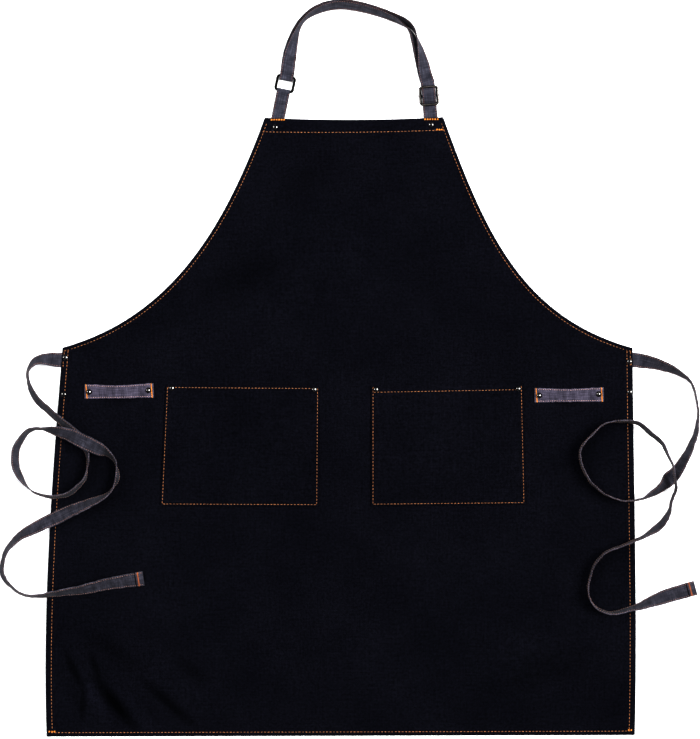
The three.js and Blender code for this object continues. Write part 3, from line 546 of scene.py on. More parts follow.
def bezier_direction(points, t):
    a, b, c, d = points
    s = 1 - t
    return (3 * s * s * (b - a) + 6 * s * t * (c - b) + 3 * t * t * (d - c)).normalized()


def hermite(a, b, m, n, t):
    return a + m * t + (3 * (b - a) - 2 * m - n) * t * t + (2 * (a - b) + m + n) * t ** 3


def catmull_rom(points, steps):
    """A centripetal curve through the points, with so many steps to each span."""
    padded = [2 * points[0] - points[1], *points, 2 * points[-1] - points[-2]]
    way = []
    for k in range(1, len(padded) - 2):
        p0, p1, p2, p3 = padded[k - 1:k + 3]
        d0, d1, d2 = [max((b - a).length, 1e-6) ** 0.5 for a, b in ((p0, p1), (p1, p2), (p2, p3))]
        m1 = d1 * ((p1 - p0) / d0 - (p2 - p0) / (d0 + d1) + (p2 - p1) / d1)
        m2 = d1 * ((p2 - p1) / d1 - (p3 - p1) / (d1 + d2) + (p3 - p2) / d2)
        way += [hermite(p1, p2, m1, m2, step / steps) for step in range(steps)]
    return [*way, points[-1].copy()]


def monotone(values, steps):
    """A smooth run through evenly spaced values that never overshoots them."""
    slopes = [b - a for a, b in zip(values, values[1:])]
    ends = [2 * a * b / (a + b) if a * b > 0 else 0 for a, b in zip(slopes, slopes[1:])]
    ends = [slopes[0], *ends, slopes[-1]]
    run = []
    for a, b, m, n in zip(values, values[1:], ends, ends[1:]):
        run += [hermite(a, b, m, n, step / steps) for step in range(steps)]
    return [*run, values[-1]]


def directions(line):
    """Direction of a line at each of its points."""
    return [(b - a).normalized() for a, b in zip(line[:1] + line, line[1:] + line[-1:])]


def mix(a, b, t):
    return a + (b - a) * t


def evenly(start, end, steps):
    return [mix(start, end, k / steps) for k in range(steps + 1)]


def clamp(value, low=0.0, high=1.0):
    return min(max(value, low), high)


def smooth_step(low, high, value):
    t = np.clip((value - low) / (high - low), 0, 1)
    return t * t * (3 - 2 * t)


def bell(offset, width, exp=math.exp):
    return exp(-((offset / width) ** 2))


def wander(x, y, seed):
    return noise.noise(Vector((x, y, seed)))


# Stitches


class Stitches:
    """Short dips of thread gathered into one mesh, in one or two colours of thread."""

    # Rings of one stitch: place along it, share of the radius, dip
    RINGS = [(-1, 0.5, 1.25), (-0.62, 0.95, 0.4), (0, 1, 0), (0.62, 0.95, 0.4), (1, 0.5, 1.25)]
    SIDES = 6
    SWAY, STRETCH, SINK = 0.14, 0.3, 0.22
    SEED_STEP = 0.37

    def __init__(self):
        self.points = []
        self.faces = []
        self.looks = []

    def add(self, middle, forward, normal, length, radius, look=0):
        seed = len(self.looks) * self.SEED_STEP
        side = normal.cross(forward).normalized()
        forward = (forward + side * self.SWAY * wander(seed, middle.x, 2)).normalized()
        side = normal.cross(forward)
        length *= 1 + self.STRETCH * wander(seed, middle.y, 5)
        middle = middle + normal * (self.SINK * radius * wander(seed, middle.x, 8))
        faces = tube_faces(len(self.RINGS), self.SIDES, len(self.points))
        for along, swell, dip in self.RINGS:
            centre = middle + forward * (along * length / 2) - normal * (dip * radius)
            for angle in full_turn(self.SIDES):
                way = side * math.cos(angle) + normal * math.sin(angle)
                self.points.append(centre + way * (swell * radius))
        self.faces += faces
        self.looks += [look] * len(faces)

    def piece(self, name, materials):
        return make_piece(name, self.points, self.faces, materials, face_materials=self.looks)


def walk(line, pitch):
    """Evenly spaced places along a line of points, each with its direction."""
    legs = [(b - a).length for a, b in zip(line, line[1:])]
    count = max(1, round(sum(legs) / pitch))
    spacing = sum(legs) / count
    places = []
    leg, start = 0, 0.0
    for k in range(count):
        target = (k + 0.5) * spacing
        while leg < len(legs) - 1 and start + legs[leg] < target:
            start += legs[leg]
            leg += 1
        share = (target - start) / legs[leg]
        places.append((line[leg].lerp(line[leg + 1], share), (line[leg + 1] - line[leg]).normalized()))
    return places


# The panel

# Relief of the cloth: depth or height and half width of seams, slack (height, size, seed), and rounded edges
GROOVE, GROOVE_WIDTH = 0.42, 1.1
SWELL, SWELL_SHARE = 0.22, 0.3
HEM_STEP, HEM_STEP_WIDTH = 0.55, 5
HEM_BLUR = 0.6
PUCKER_LENGTH, PUCKER_WIDTH = 10, 30
PUCKER_REACH = 2.5
PUCKER_SEED = 7.3
SLACK = [(0.8, 80, 3.1), (0.3, 26, 9.2)]
SLACK_START, SLACK_END = 4, 30
FOLD_START = 20
EDGE_REACH, EDGE_TOP, EDGE_UNDER = 1.4, 1.45, 1.3
THINNEST = 0.7

# Rows and columns of the panel's mesh: insets of those close to an edge, and what lies between
FOOT_INSETS = [0, 0.5, 1.3, 2.6, 3.9, 5, 6.1, 7.5, 9.5, 12.5]
TOP_INSETS = [18.5, 17, 16, 15, 14, 12.5, 9.5, 6.5, 3.5, 1.3, 0.5, 0]
SIDE_INSETS = [0, 0.5, 1.3, 2.6, 3.7, 4.7, 5.7, 7.2, 8.6, 10.5, 14]
SKIRT_INSET, SKIRT_ROWS = 16, 118
BIB_INSET, BIB_ROWS = 22, 84
INNER_COLUMNS = 146
WIDEST_INSET = 4
OUTLINE_STEPS = 160
CHUNK = 4000


def edge_curves(edge):
    inward = edge.inward
    hem, waist, bib = [Vector(place) for place in (edge.hem, edge.waist, edge.bib)]
    low, high = [Vector((inward * bulge, 0)) for bulge in edge.bulges]
    foot = Vector((inward * math.cos(ARMHOLE_FOOT_ANGLE), math.sin(ARMHOLE_FOOT_ANGLE)))
    head = Vector((inward * math.sin(ARMHOLE_HEAD_ANGLE), math.cos(ARMHOLE_HEAD_ANGLE)))
    side = (hem, hem.lerp(waist, 1 / 3) - low, hem.lerp(waist, 2 / 3) - high, waist)
    armhole = (waist, waist + foot * edge.reaches[0], bib - head * edge.reaches[1], bib)
    return side, armhole


CURVES = {name: edge_curves(edge) for name, edge in EDGES.items()}


def edge_at(name, level):
    """Point and direction of a side of the outline: level 0 is the hem, 1 the waist and 2 the bib."""
    side, armhole = CURVES[name]
    curve, t = (side, level) if level <= 1 else (armhole, level - 1)
    return bezier(curve, t), bezier_direction(curve, t)


def row_point(level, across):
    left, right = edge_at("left", level)[0], edge_at("right", level)[0]
    dip = TOP_DIP * max(0, level - 1) ** 3
    return left.lerp(right, across) - Vector((0, 4 * dip * across * (1 - across)))


def outline_lines():
    shares = evenly(0, 1, OUTLINE_STEPS)
    lines = {}
    for name in EDGES:
        lines[f"{name}_side"] = [edge_at(name, t)[0] for t in shares]
        lines[f"{name}_armhole"] = [edge_at(name, 1 + t)[0] for t in shares]
    lines["bottom"] = [row_point(0, t) for t in shares]
    lines["top"] = [row_point(2, t) for t in shares]
    return lines


OUTLINE = outline_lines()


def distance_to(line, points):
    """Distance of each point from a line, and how far along the line its nearest place is."""
    line = np.array([tuple(p) for p in line])
    start, leg = line[:-1], line[1:] - line[:-1]
    lengths = np.hypot(leg[:, 0], leg[:, 1])
    before = np.concatenate([[0], np.cumsum(lengths)[:-1]])
    away = np.empty(len(points))
    along = np.empty(len(points))
    for first in range(0, len(points), CHUNK):
        part = points[first:first + CHUNK]
        offset = part[:, None, :] - start[None, :, :]
        share = np.clip((offset * leg).sum(2) / lengths ** 2, 0, 1)
        gap = np.hypot(*np.moveaxis(offset - share[:, :, None] * leg, 2, 0))
        nearest = gap.argmin(1)
        rows = np.arange(len(part))
        away[first:first + len(part)] = gap[rows, nearest]
        along[first:first + len(part)] = before[nearest] + share[rows, nearest] * lengths[nearest]
    return away, along


def fold_rise(points):
    rise = np.zeros(len(points))
    for start, end, height, half_width in FOLDS:
        away, along = distance_to([start, end], points)
        leg, offset = np.subtract(end, start), points - np.array(start)
        side = leg[0] * offset[:, 1] - leg[1] * offset[:, 0]
        reach = np.where(side < 0, FOLD_STEEP, FOLD_GENTLE) * half_width
        rise += height * np.sin(np.pi * along / np.hypot(*leg)) * bell(away, reach, np.exp)
    return rise


def panel_heights(points):
    """Top and underside of the panel's cloth at each point, with its seams, puckers and slack."""
    points = np.asarray(points, dtype=float)
    relief = np.zeros(len(points))
    in_hem = np.zeros(len(points))
    rim = np.full(len(points), np.inf)
    for index, (name, seam) in enumerate(SEAMS.items()):
        away, along = distance_to(OUTLINE[name], points)
        rim = np.minimum(rim, away)
        in_hem = np.maximum(in_hem, 1 - smooth_step(seam.hem - HEM_BLUR, seam.hem + HEM_BLUR, away))
        relief -= GROOVE * bell(away - seam.stitch, GROOVE_WIDTH, np.exp)
        relief += SWELL * bell(away - seam.stitch / 2, SWELL_SHARE * seam.stitch, np.exp)
        relief -= HEM_STEP * bell(away - seam.hem - HEM_STEP_WIDTH, HEM_STEP_WIDTH, np.exp)
        for k in np.flatnonzero(np.abs(away - seam.stitch) < PUCKER_REACH * seam.spread):
            wave = wander(along[k] / PUCKER_LENGTH, away[k] / PUCKER_WIDTH, PUCKER_SEED * index)
            relief[k] += seam.pucker * bell(away[k] - seam.stitch, seam.spread) * wave
    slack = np.array([sum(height * (0.5 + 0.5 * wander(x / size, y / size, seed))
                          for height, size, seed in SLACK) for x, y in points])
    rounding = np.clip(1 - rim / EDGE_REACH, 0, 1) ** 2
    rise = fold_rise(points)
    top = PANEL_TOP + rise + relief - slack * smooth_step(SLACK_START, SLACK_END, rim) - EDGE_TOP * rounding
    under = HEM_FOLD * (1 - in_hem) + rise * smooth_step(0, FOLD_START, rim) + EDGE_UNDER * rounding
    return top, np.minimum(under, top - THINNEST)


def panel_levels():
    """Levels of the rows, of which many lie close to the hem and to the bib's top."""
    left = EDGES["left"]
    height = left.waist[1] - left.hem[1]
    head = 3 * left.reaches[1] * math.cos(ARMHOLE_HEAD_ANGLE)
    levels = [d / height for d in FOOT_INSETS] + evenly(SKIRT_INSET / height, 1, SKIRT_ROWS)
    levels += [1 + (1 - BIB_INSET / head) * k / BIB_ROWS for k in range(1, BIB_ROWS + 1)]
    return levels + [2 - d / head for d in TOP_INSETS]


def build_panel():
    grid = []
    levels = panel_levels()
    for level in levels:
        (left, left_way), (right, right_way) = edge_at("left", level), edge_at("right", level)
        left_inset, right_inset = [min(1 / abs(way.y), WIDEST_INSET) for way in (left_way, right_way)]
        low, high = left.x + SIDE_INSETS[-1] * left_inset, right.x - SIDE_INSETS[-1] * right_inset
        xs = [left.x + inset * left_inset for inset in SIDE_INSETS]
        xs += evenly(low, high, INNER_COLUMNS)[1:-1]
        xs += [right.x - inset * right_inset for inset in reversed(SIDE_INSETS)]
        grid += [row_point(level, (x - left.x) / (right.x - left.x)) for x in xs]
    top, under = panel_heights([tuple(p) for p in grid])
    points = [(*p, z) for heights in (top, under) for p, z in zip(grid, heights)]
    panel = make_piece("panel_cloth", points, sheet_faces(len(levels), len(xs)), [CANVAS])
    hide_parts("body_panel")
    return panel


def inside_line(line, inset, inward):
    """A line moved sideways: inward is 1 where the cloth is on its left."""
    return [point + Vector((-way.y, way.x)) * inward * inset for point, way in zip(line, directions(line))]


def panel_stitch_lines():
    lines = []
    for name, edge in EDGES.items():
        side, armhole = [inside_line(OUTLINE[seam], SEAMS[seam].stitch, -edge.inward)
                         for seam in (f"{name}_side", f"{name}_armhole")]
        lines.append([p for p in side if SIDE_STITCHES[0] < p.y < SIDE_STITCHES[1]])
        lines.append([p for p in armhole if p.y < ARMHOLE_STITCHES_TOP])
    bottom = inside_line(OUTLINE["bottom"], SEAMS["bottom"].stitch, 1)
    lines.append([p for p in bottom if abs(p.x) < BOTTOM_STITCHES_REACH])
    start, end = [Vector(place) for place in TOP_STITCHES]
    lines.append([start.lerp(end, t) - Vector((0, 4 * TOP_STITCHES_SAG * t * (1 - t)))
                  for t in evenly(0, 1, TOP_STITCHES_STEPS)])
    return lines + [[Vector(start), Vector(end)] for start, end in TIE_STITCHES]


def build_panel_stitches():
    rows = []
    for line in panel_stitch_lines():
        rows += [(place, way, PANEL_STITCH, 0) for place, way in walk(line, PANEL_STITCH.pitch)]
    for start, end in BAR_TACKS:
        for place, way in walk([Vector(start), Vector(end)], PANEL_BAR.pitch):
            across = Vector((-way.y, way.x))
            slanted = (way + across * PANEL_BAR.slant).normalized()
            rows += [(place + across * offset, slanted, PANEL_BAR, 1) for offset in PANEL_BAR.rows]
    heights, _ = panel_heights([tuple(place) for place, *_ in rows])
    stitches = Stitches()
    for (place, way, kind, look), z in zip(rows, heights):
        middle = Vector((*place, z + PANEL_STITCH.lift))
        stitches.add(middle, Vector((*way, 0)), UP, kind.length, kind.radius, look)
    return stitches.piece("panel_topstitching", [ORANGE_THREAD, BRIGHT_THREAD])


# Pockets: relief as on the panel, and the rows and columns of their mesh

POCKET_GROOVE, POCKET_GROOVE_WIDTH = 0.32, 1
POCKET_PUCKER, POCKET_PUCKER_WIDTH = 0.35, 6
POCKET_LAYER = 0.35
POCKET_TURNING = 6.4
MOUTH_TURNING = 2
POCKET_SLACK, POCKET_SLACK_END, POCKET_SINK = 0.5, 20, -0.3
POCKET_EDGE_REACH, POCKET_EDGE_TOP, POCKET_EDGE_UNDER = 1.2, 0.7, 0.35
POCKET_THINNEST = 0.4
GAPE_POWER = 1.2
POCKET_INSETS = [0, 0.4, 1.1, 2.1, 3.2, 5, 7.5]
MOUTH_INSETS = [10.2, 8.8, 7.6, 6.4, 5, 3.4, 2.3, 1.2, 0.4, 0]
POCKET_COLUMNS = (10.5, 180.5, 56)
POCKET_ROWS = (10.5, 138, 44)
SIDE_SEAM_TOP = 1.5
SEAM_STEPS = 80


def pocket_point(pocket, u, v):
    foot, mouth = [Vector(start).lerp(Vector(end), u) for start, end in (pocket.foot, pocket.mouth)]
    return foot.lerp(mouth, v)


def pocket_heights(pocket, u, v, seed):
    """Top and underside of a pocket's cloth at shares of its width and height."""
    across = u * POCKET_WIDTH
    sides = min(u, 1 - u) * POCKET_WIDTH
    mouth = (1 - v) * POCKET_HEIGHT
    foot = v * POCKET_HEIGHT
    mouth_seam = mix(*pocket.mouth_stitch, u)
    rim = min(sides, mouth, foot)
    gape = POCKET_GAPE * math.sin(math.pi * u) ** 2 * v ** GAPE_POWER
    relief = 0
    seams = [(sides, POCKET_SEAM, foot), (foot, POCKET_SEAM, across), (mouth, mouth_seam, across)]
    for away, seam, along in seams:
        relief -= POCKET_GROOVE * bell(away - seam, POCKET_GROOVE_WIDTH)
        wave = wander(along / PUCKER_LENGTH, away / PUCKER_WIDTH, seed)
        relief += POCKET_PUCKER * bell(away - seam, POCKET_PUCKER_WIDTH) * wave
    turned = clamp(POCKET_TURNING - min(sides, foot))
    hem = 1 if mouth < mouth_seam + MOUTH_TURNING else 0
    slack = POCKET_SLACK * wander(u * 3, v * 2.4, seed + 4) * clamp(rim / POCKET_SLACK_END)
    rounding = clamp(1 - rim / POCKET_EDGE_REACH) ** 2
    under = ON_PANEL + gape + POCKET_EDGE_UNDER * rounding
    top = under + CLOTH + POCKET_LAYER * max(turned, hem) + relief + max(slack, POCKET_SINK)
    return max(top - POCKET_EDGE_TOP * rounding, under + POCKET_THINNEST), under


def build_pocket(name, pocket, seed):
    us = [d / POCKET_WIDTH for d in [*POCKET_INSETS, *evenly(*POCKET_COLUMNS)]]
    us += [1 - d / POCKET_WIDTH for d in reversed(POCKET_INSETS)]
    vs = [d / POCKET_HEIGHT for d in [*POCKET_INSETS, *evenly(*POCKET_ROWS)]]
    vs += [1 - d / POCKET_HEIGHT for d in MOUTH_INSETS]
    tops, unders = [], []
    for v in vs:
        for u in us:
            x, y = pocket_point(pocket, u, v)
            top, under = pocket_heights(pocket, u, v, seed)
            tops.append((x, y, top))
            unders.append((x, y, under))
    cloth = make_piece(f"{name}_cloth", tops + unders, sheet_faces(len(vs), len(us)), [CANVAS])
    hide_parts(name)
    stitches = Stitches()
    inset_u, inset_v = POCKET_SEAM / POCKET_WIDTH, POCKET_SEAM / POCKET_HEIGHT
    top = 1 - SIDE_SEAM_TOP / POCKET_HEIGHT
    left_mouth, right_mouth = [1 - d / POCKET_HEIGHT for d in pocket.mouth_stitch]
    corners = [(inset_u, top), (inset_u, inset_v), (1 - inset_u, inset_v), (1 - inset_u, top)]
    runs = [*zip(corners, corners[1:]), ((1 - inset_u, right_mouth), (inset_u, left_mouth))]
    for (u0, v0), (u1, v1) in runs:
        line = []
        for u, v in zip(evenly(u0, u1, SEAM_STEPS), evenly(v0, v1, SEAM_STEPS)):
            z = pocket_heights(pocket, u, v, seed)[0] + POCKET_STITCH.lift
            line.append(Vector((*pocket_point(pocket, u, v), z)))
        for place, way in walk(line, POCKET_STITCH.pitch):
            normal = way.cross(UP).cross(way).normalized()
            stitches.add(place, way, normal, POCKET_STITCH.length, POCKET_STITCH.radius)
    thread = stitches.piece(f"{name}_topstitching", [ORANGE_THREAD])


# Tape

# Height of the wrinkles at a distance along each kind of tape, which is sewn down or held at its ends
WRINKLES = {
    "tie": lambda arc, length: 1.15 * clamp((arc - 22) / 20) * clamp((length - arc) / 14 + 0.25),
    "loop": lambda arc, length: 0.3 * clamp(min(arc, length - arc) / 15),
    "tab": lambda arc, length: 0.22 * clamp(min(arc - 22, length - 34 - arc) / 8),
    "strap": lambda arc, length: 0.16 * clamp((arc - 70) / 20),
}
TAPE_STEP = 1.5
STRAP_STEP = 1.6
TIE_END_STEP = 0.6
LOOP_STEPS = 60
LOOP_NARROWING = 0.1
SOFTENING = 0.05

# Stitches along the tapes: where they start and end, and their bars: place, length of the stitches, slant
TIE_STITCHES_START, TIE_BAR_LENGTH = 13, 2.2
LOOP_BAR, LOOP_BAR_LENGTH, LOOP_BAR_SLANTS = 2.6, 1.6, (-0.7, -0.5)
TAB_STITCHES = (17, 51)
STRAP_STITCHES_START, RING_GAP, STRAP_TUCKED = 17, 5, 30
AT_RING = (-60, 366)


class Tape:
    """A flat tape through stations, each a centre and the direction across, sewn along both edges."""

    ACROSS = [0, 0.25, 0.5, 0.66, 0.75, 0.82, 0.89, 0.95, 0.985, 1]
    SEAM = 0.82
    # Wrinkles: height, length along the tape, share of the width, seed
    WAVES = [(0.6, 5.5, 0.9, 0), (0.55, 13, 0.5, 9)]
    SWAY, SWAY_LENGTH = 1.7, 21
    GROOVE, GROOVE_WIDTH = 0.14, 0.7
    FOLD_EDGE, FOLD_SWELL, FOLD_LIFT = 0.7, 0.8, 0.48
    UNEVEN, UNEVEN_LENGTH = 0.05, 6
    EDGE_CALM = 0.3

    def __init__(self, stations, width, wrinkle, seed, end_fold=0.0, look=SHADED_TIE_CHAMBRAY, narrowing=0.0):
        self.width = width
        self.narrowing = narrowing
        self.look = look
        self.seed = seed
        self.centres = [centre for centre, _ in stations]
        self.across = [across for _, across in stations]
        ways = directions(self.centres)
        self.normal = [way.cross(across).normalized() for way, across in zip(ways, self.across)]
        self.arc = [0.0]
        for a, b in zip(self.centres, self.centres[1:]):
            self.arc.append(self.arc[-1] + (b - a).length)
        self.wrinkle = [wrinkle(arc, self.arc[-1]) for arc in self.arc]
        self.end_fold = end_fold

    def place(self, k, s, face):
        """A point on a face, or on the middle where face is 0, at a share s of the half width."""
        arc, half = self.arc[k], self.width / 2
        waves = sum(height * wander(arc / length, share * s, self.seed + seed)
                    for height, length, share, seed in self.WAVES)
        ripple = self.wrinkle[k] * waves * (1 - self.EDGE_CALM * s * s)
        sway = wander(arc / self.SWAY_LENGTH, 3.3, self.seed + 6)
        ripple += self.SWAY * self.wrinkle[k] * abs(self.across[k].z) * sway
        edge = max(0.0, abs(s) * half - half + TAPE / 2) / (TAPE / 2)
        depth = TAPE / 2 * math.sqrt(max(0.0, 1 - edge * edge))
        depth -= self.GROOVE * bell((abs(s) - self.SEAM) * half, self.GROOVE_WIDTH) * (1 - edge)
        if self.end_fold:
            folded = clamp((arc - self.arc[-1] + self.end_fold) / self.FOLD_EDGE)
            depth *= 1 + self.FOLD_SWELL * folded
            ripple += self.FOLD_LIFT * folded
        waist = 1 + self.UNEVEN * wander(arc / self.UNEVEN_LENGTH, 7 * (s > 0), self.seed + 3)
        waist -= self.narrowing * math.sin(math.pi * arc / self.arc[-1]) ** 2
        return (self.centres[k] + self.across[k] * (s * half * waist)
                + self.normal[k] * (ripple + face * depth))

    def build(self, name, node):
        right = [-s for s in reversed(self.ACROSS[1:])] + self.ACROSS
        ring = [(s, 1) for s in reversed(right)] + [(s, -1) for s in right[1:-1]]
        start = self.arc[-1] if self.end_fold else 0
        points, uvs = [], []
        for k, arc in enumerate(self.arc):
            points += [self.place(k, s, face) for s, face in ring]
            uvs += [(s * UV_HALF, arc - start) for s, _ in ring]
        faces = tube_faces(len(self.arc), len(ring))
        ends = (len(faces) - 2, len(faces) - 1)
        tape = make_piece(name, points, faces, [self.look], uvs=uvs, sharp_faces=ends)
        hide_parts(node)
        return tape

    def between(self, arc, s, face):
        """Place, direction and normal at a distance along the tape."""
        k = int(np.searchsorted(self.arc, arc, side="right")) - 1
        k = clamp(k, 0, len(self.arc) - 2)
        share = (arc - self.arc[k]) / (self.arc[k + 1] - self.arc[k])
        here, there = self.place(k, s, face), self.place(k + 1, s, face)
        normal = self.normal[k].lerp(self.normal[k + 1], share).normalized() * face
        return here.lerp(there, share), (there - here).normalized(), normal

    def sew(self, stitches, start, end, faces):
        count = max(1, round((end - start) / TAPE_STITCH.pitch))
        for face in faces:
            for s in (-self.SEAM, self.SEAM):
                for k in range(count):
                    place, way, normal = self.between(mix(start, end, (k + 0.5) / count), s, face)
                    stitches.add(place + normal * TAPE_STITCH.lift, way, normal, TAPE_STITCH.length,
                                 TAPE_STITCH.radius)

    def bar(self, stitches, arc, faces, length, slant=0.0):
        """A bar tack: short stitches along the tape, close together in a row across it."""
        count = round(TAPE_BAR.reach * self.width / TAPE_BAR.pitch)
        for face in faces:
            for k, s in enumerate(evenly(-TAPE_BAR.reach, TAPE_BAR.reach, count)):
                place, way, normal = self.between(arc + slant * s, s, face)
                way = (way + normal.cross(way) * TAPE_BAR.slant * (1 if k % 2 else -1)).normalized()
                stitches.add(place + normal * TAPE_BAR.lift, way, normal, length, TAPE_BAR.radius, 1)

    def sewn(self, name, threads, runs, faces=(1,), bars=()):
        """The tape of a node, and its thread: runs along both edges, and bar tacks."""
        piece = self.build(f"{name}_tape", name)
        stitches = Stitches()
        for start, end in runs:
            self.sew(stitches, start, end, faces)
        for arc, *bar in bars:
            self.bar(stitches, arc, faces, *bar)
        return piece, stitches.piece(f"{name}_stitching", threads)


def densify(stations, step):
    """More stations on a smooth way through the given ones."""
    centres, across = [], []
    ways = [centre for centre, _ in stations]
    sides = [side for _, side in stations]
    for k, (a, b) in enumerate(zip(ways, ways[1:])):
        steps = max(1, round((b - a).length / step))
        before = ways[k - 1] if k else 2 * a - b
        after = ways[k + 2] if k + 2 < len(ways) else 2 * b - a
        centres += catmull_rom([before, a, b, after], steps)[steps:2 * steps]
        across += [sides[k].lerp(sides[k + 1], i / steps).normalized() for i in range(steps)]
    return list(zip([*centres, ways[-1]], [*across, sides[-1]]))


def tilted_across(forward, turn):
    return UP.cross(forward) * math.cos(turn) + UP * math.sin(turn)


def route_run(route, steps):
    """Places along a route, each with its direction, its tilt in radians and its fourth value."""
    centres = catmull_rom([Vector((x, y, 0)) for x, y, *_ in route], steps)
    tilts = monotone([row[2] for row in route], steps)
    values = monotone([row[3] if len(row) > 3 else ON_PANEL for row in route], steps)
    return zip(centres, directions(centres), map(math.radians, tilts), values)


def bend_angles(first=0, last=BEND_STEPS):
    return [math.pi * k / BEND_STEPS for k in range(first, last + 1)]


def tie_stations(route):
    stations = []
    for centre, way, turn, ground in route_run(route, TIE_STEPS):
        height = TIE_WIDTH * math.hypot(math.sin(turn), SOFTENING) + TAPE * abs(math.cos(turn))
        lift = height / 2 if ground != ROOT else TAPE / 2
        stations.append((Vector((centre.x, centre.y, ground + FLOOR_GAP + lift)), tilted_across(way, turn)))
    return stations


def build_tie(name, seed):
    stations = tie_stations(TIES[name])
    run = densify(stations, TAPE_STEP)
    run = run[:-TIE_END_STATIONS] + densify(run[-TIE_END_STATIONS:], TIE_END_STEP)
    tape = Tape(run, TIE_WIDTH, WRINKLES["tie"], seed, TIE_END_FOLD)
    length = tape.arc[-1]
    piece, thread = tape.sewn(name, [TIE_THREAD, RED_THREAD], [(TIE_STITCHES_START, length - 1)], (1, -1),
                              [(length - TIE_END_BAR, TIE_BAR_LENGTH)])


def build_loop(name, loop, seed):
    start, end = Vector(loop.start), Vector(loop.end)
    way = (end - start).normalized()
    across = Vector((-way.y, way.x, 0))
    stations = []
    for share in evenly(0, 1, LOOP_STEPS):
        arch = clamp((share - LOOP_FLAT_SHARE) / (1 - 2 * LOOP_FLAT_SHARE))
        place = start.lerp(end, share) + across.xy * loop.bow * math.sin(math.pi * share) ** 2
        z = ON_PANEL + TAPE / 2 + LOOP_RISE * math.sin(math.pi * arch) ** 2
        stations.append((Vector((*place, z)), across))
    tape = Tape(stations, TIE_WIDTH, WRINKLES["loop"], seed, look=LIT_CHAMBRAY, narrowing=LOOP_NARROWING)
    length = tape.arc[-1]
    bars = zip((LOOP_BAR, length - LOOP_BAR), (LOOP_BAR_LENGTH, LOOP_BAR_LENGTH), LOOP_BAR_SLANTS)
    piece, thread = tape.sewn(name, [PALE_THREAD, BRIGHT_THREAD], [(1, length - 1)], bars=bars)


def build_tab(seed):
    bar = Vector((RING.x, RING.y)) + Vector((math.sin(RING.turn), -math.cos(RING.turn))) * (
        RING.height / 2 - RING.wire)
    along = (Vector(TAB_EDGE) - bar).normalized()
    across = Vector((*along, 0)).cross(UP)
    bend = [(-TAPE_BEND * math.sin(a), RING.z + TAPE_BEND * math.cos(a)) for a in bend_angles()]
    rows = [(Vector((*(bar + along * u), z)), across) for u, z in [*TAB_FRONT, *bend, *TAB_BACK]]
    tape = Tape(densify(rows, TAPE_STEP), TAB_WIDTH, WRINKLES["tab"], seed, look=SHADED_STRAP_CHAMBRAY)
    piece, thread = tape.sewn("neck_tab", [RUST_THREAD], [TAB_STITCHES])


def slider_point(along, z):
    turn = SLIDER.turn
    return Vector((SLIDER.x + along * math.sin(turn), SLIDER.y - along * math.cos(turn), z))


def neck_strap_stations():
    pair = []
    for centre, way, turn, spread in route_run(NECK_ROUTE, STRAP_STEPS):
        across = tilted_across(way, turn)
        edge_rise = STRAP_WIDTH / 2 * abs(math.sin(turn))
        z = FLOOR_GAP + edge_rise + (spread + TAPE) / 2 * abs(math.cos(turn))
        lean = math.asin(max(0, spread - STRAP_LAYERS) / STRAP_WIDTH) * math.sin(turn) ** 2
        pair.append((Vector((centre.x, centre.y, z)), way, across, way.cross(across), spread, lean))

    def layer(face):
        return [(place + face * side * (gap / 2), across * math.cos(lean) + face * side * math.sin(lean))
                for place, _, across, side, gap, lean in pair]

    centre, way, ring_across, normal, spread, _ = pair[0]
    bend = [(centre - normal * (math.cos(a) * spread / 2) - way * (math.sin(a) * spread / 2), ring_across)
            for a in bend_angles(1, BEND_STEPS - 1)]
    slider_across = Vector((-math.cos(SLIDER.turn), -math.sin(SLIDER.turn), 0))
    bar_height = SLIDER.z + SLIDER.thickness / 2
    wrap = [(MIDDLE_BAR_WRAP[0] * math.sin(a), bar_height - MIDDLE_BAR_WRAP[1] * math.cos(a))
            for a in bend_angles(0, BEND_STEPS + 1)]
    over, under = [[(slider_point(u, z), slider_across) for u, z in run]
                   for run in (STRAP_OVER_SLIDER, [*STRAP_TO_MIDDLE_BAR, *wrap])]
    return densify([*over, *reversed(layer(-1)), *bend, *layer(1), *under], STRAP_STEP)


def build_neck_strap(seed):
    tape = Tape(neck_strap_stations(), STRAP_WIDTH, WRINKLES["strap"], seed, look=SHADED_STRAP_CHAMBRAY)
    length = tape.arc[-1]
    ring = next(arc for arc, centre in zip(tape.arc, tape.centres)
                if centre.x < AT_RING[0] and centre.y < AT_RING[1])
    runs = [(STRAP_STITCHES_START, ring), (ring + RING_GAP, length - STRAP_TUCKED)]
    piece, thread = tape.sewn("neck_strap", [RUST_THREAD], runs, (1, -1))


# Hardware


def swept(sections):
    """A closed tube: each station of a closed path carries a ring of points."""
    points = [point for station in sections for point in station]
    size, count = len(sections[0]), len(sections)
    faces = []
    for k in range(count):
        for i in range(size):
            j, n = (i + 1) % size, (k + 1) % count
            faces.append((k * size + i, n * size + i, n * size + j, k * size + j))
    return points, faces


def round_rectangle(half_width, half_height, corner, steps):
    path = []
    for quarter in range(4):
        cx = (half_width - corner) * (1 if quarter in (0, 3) else -1)
        cy = (half_height - corner) * (1 if quarter < 2 else -1)
        for step in range(steps + 1):
            angle = (quarter + step / steps) * math.pi / 2
            way = Vector((math.cos(angle), math.sin(angle), 0))
            path.append((Vector((cx, cy, 0)) + way * corner, way))
    return path


def placed(points, at, rise=0):
    c, s = math.cos(at.turn), math.sin(at.turn)
    return [(at.x + c * x - s * y, at.y + s * x + c * y, at.z + rise + z) for x, y, z in points]


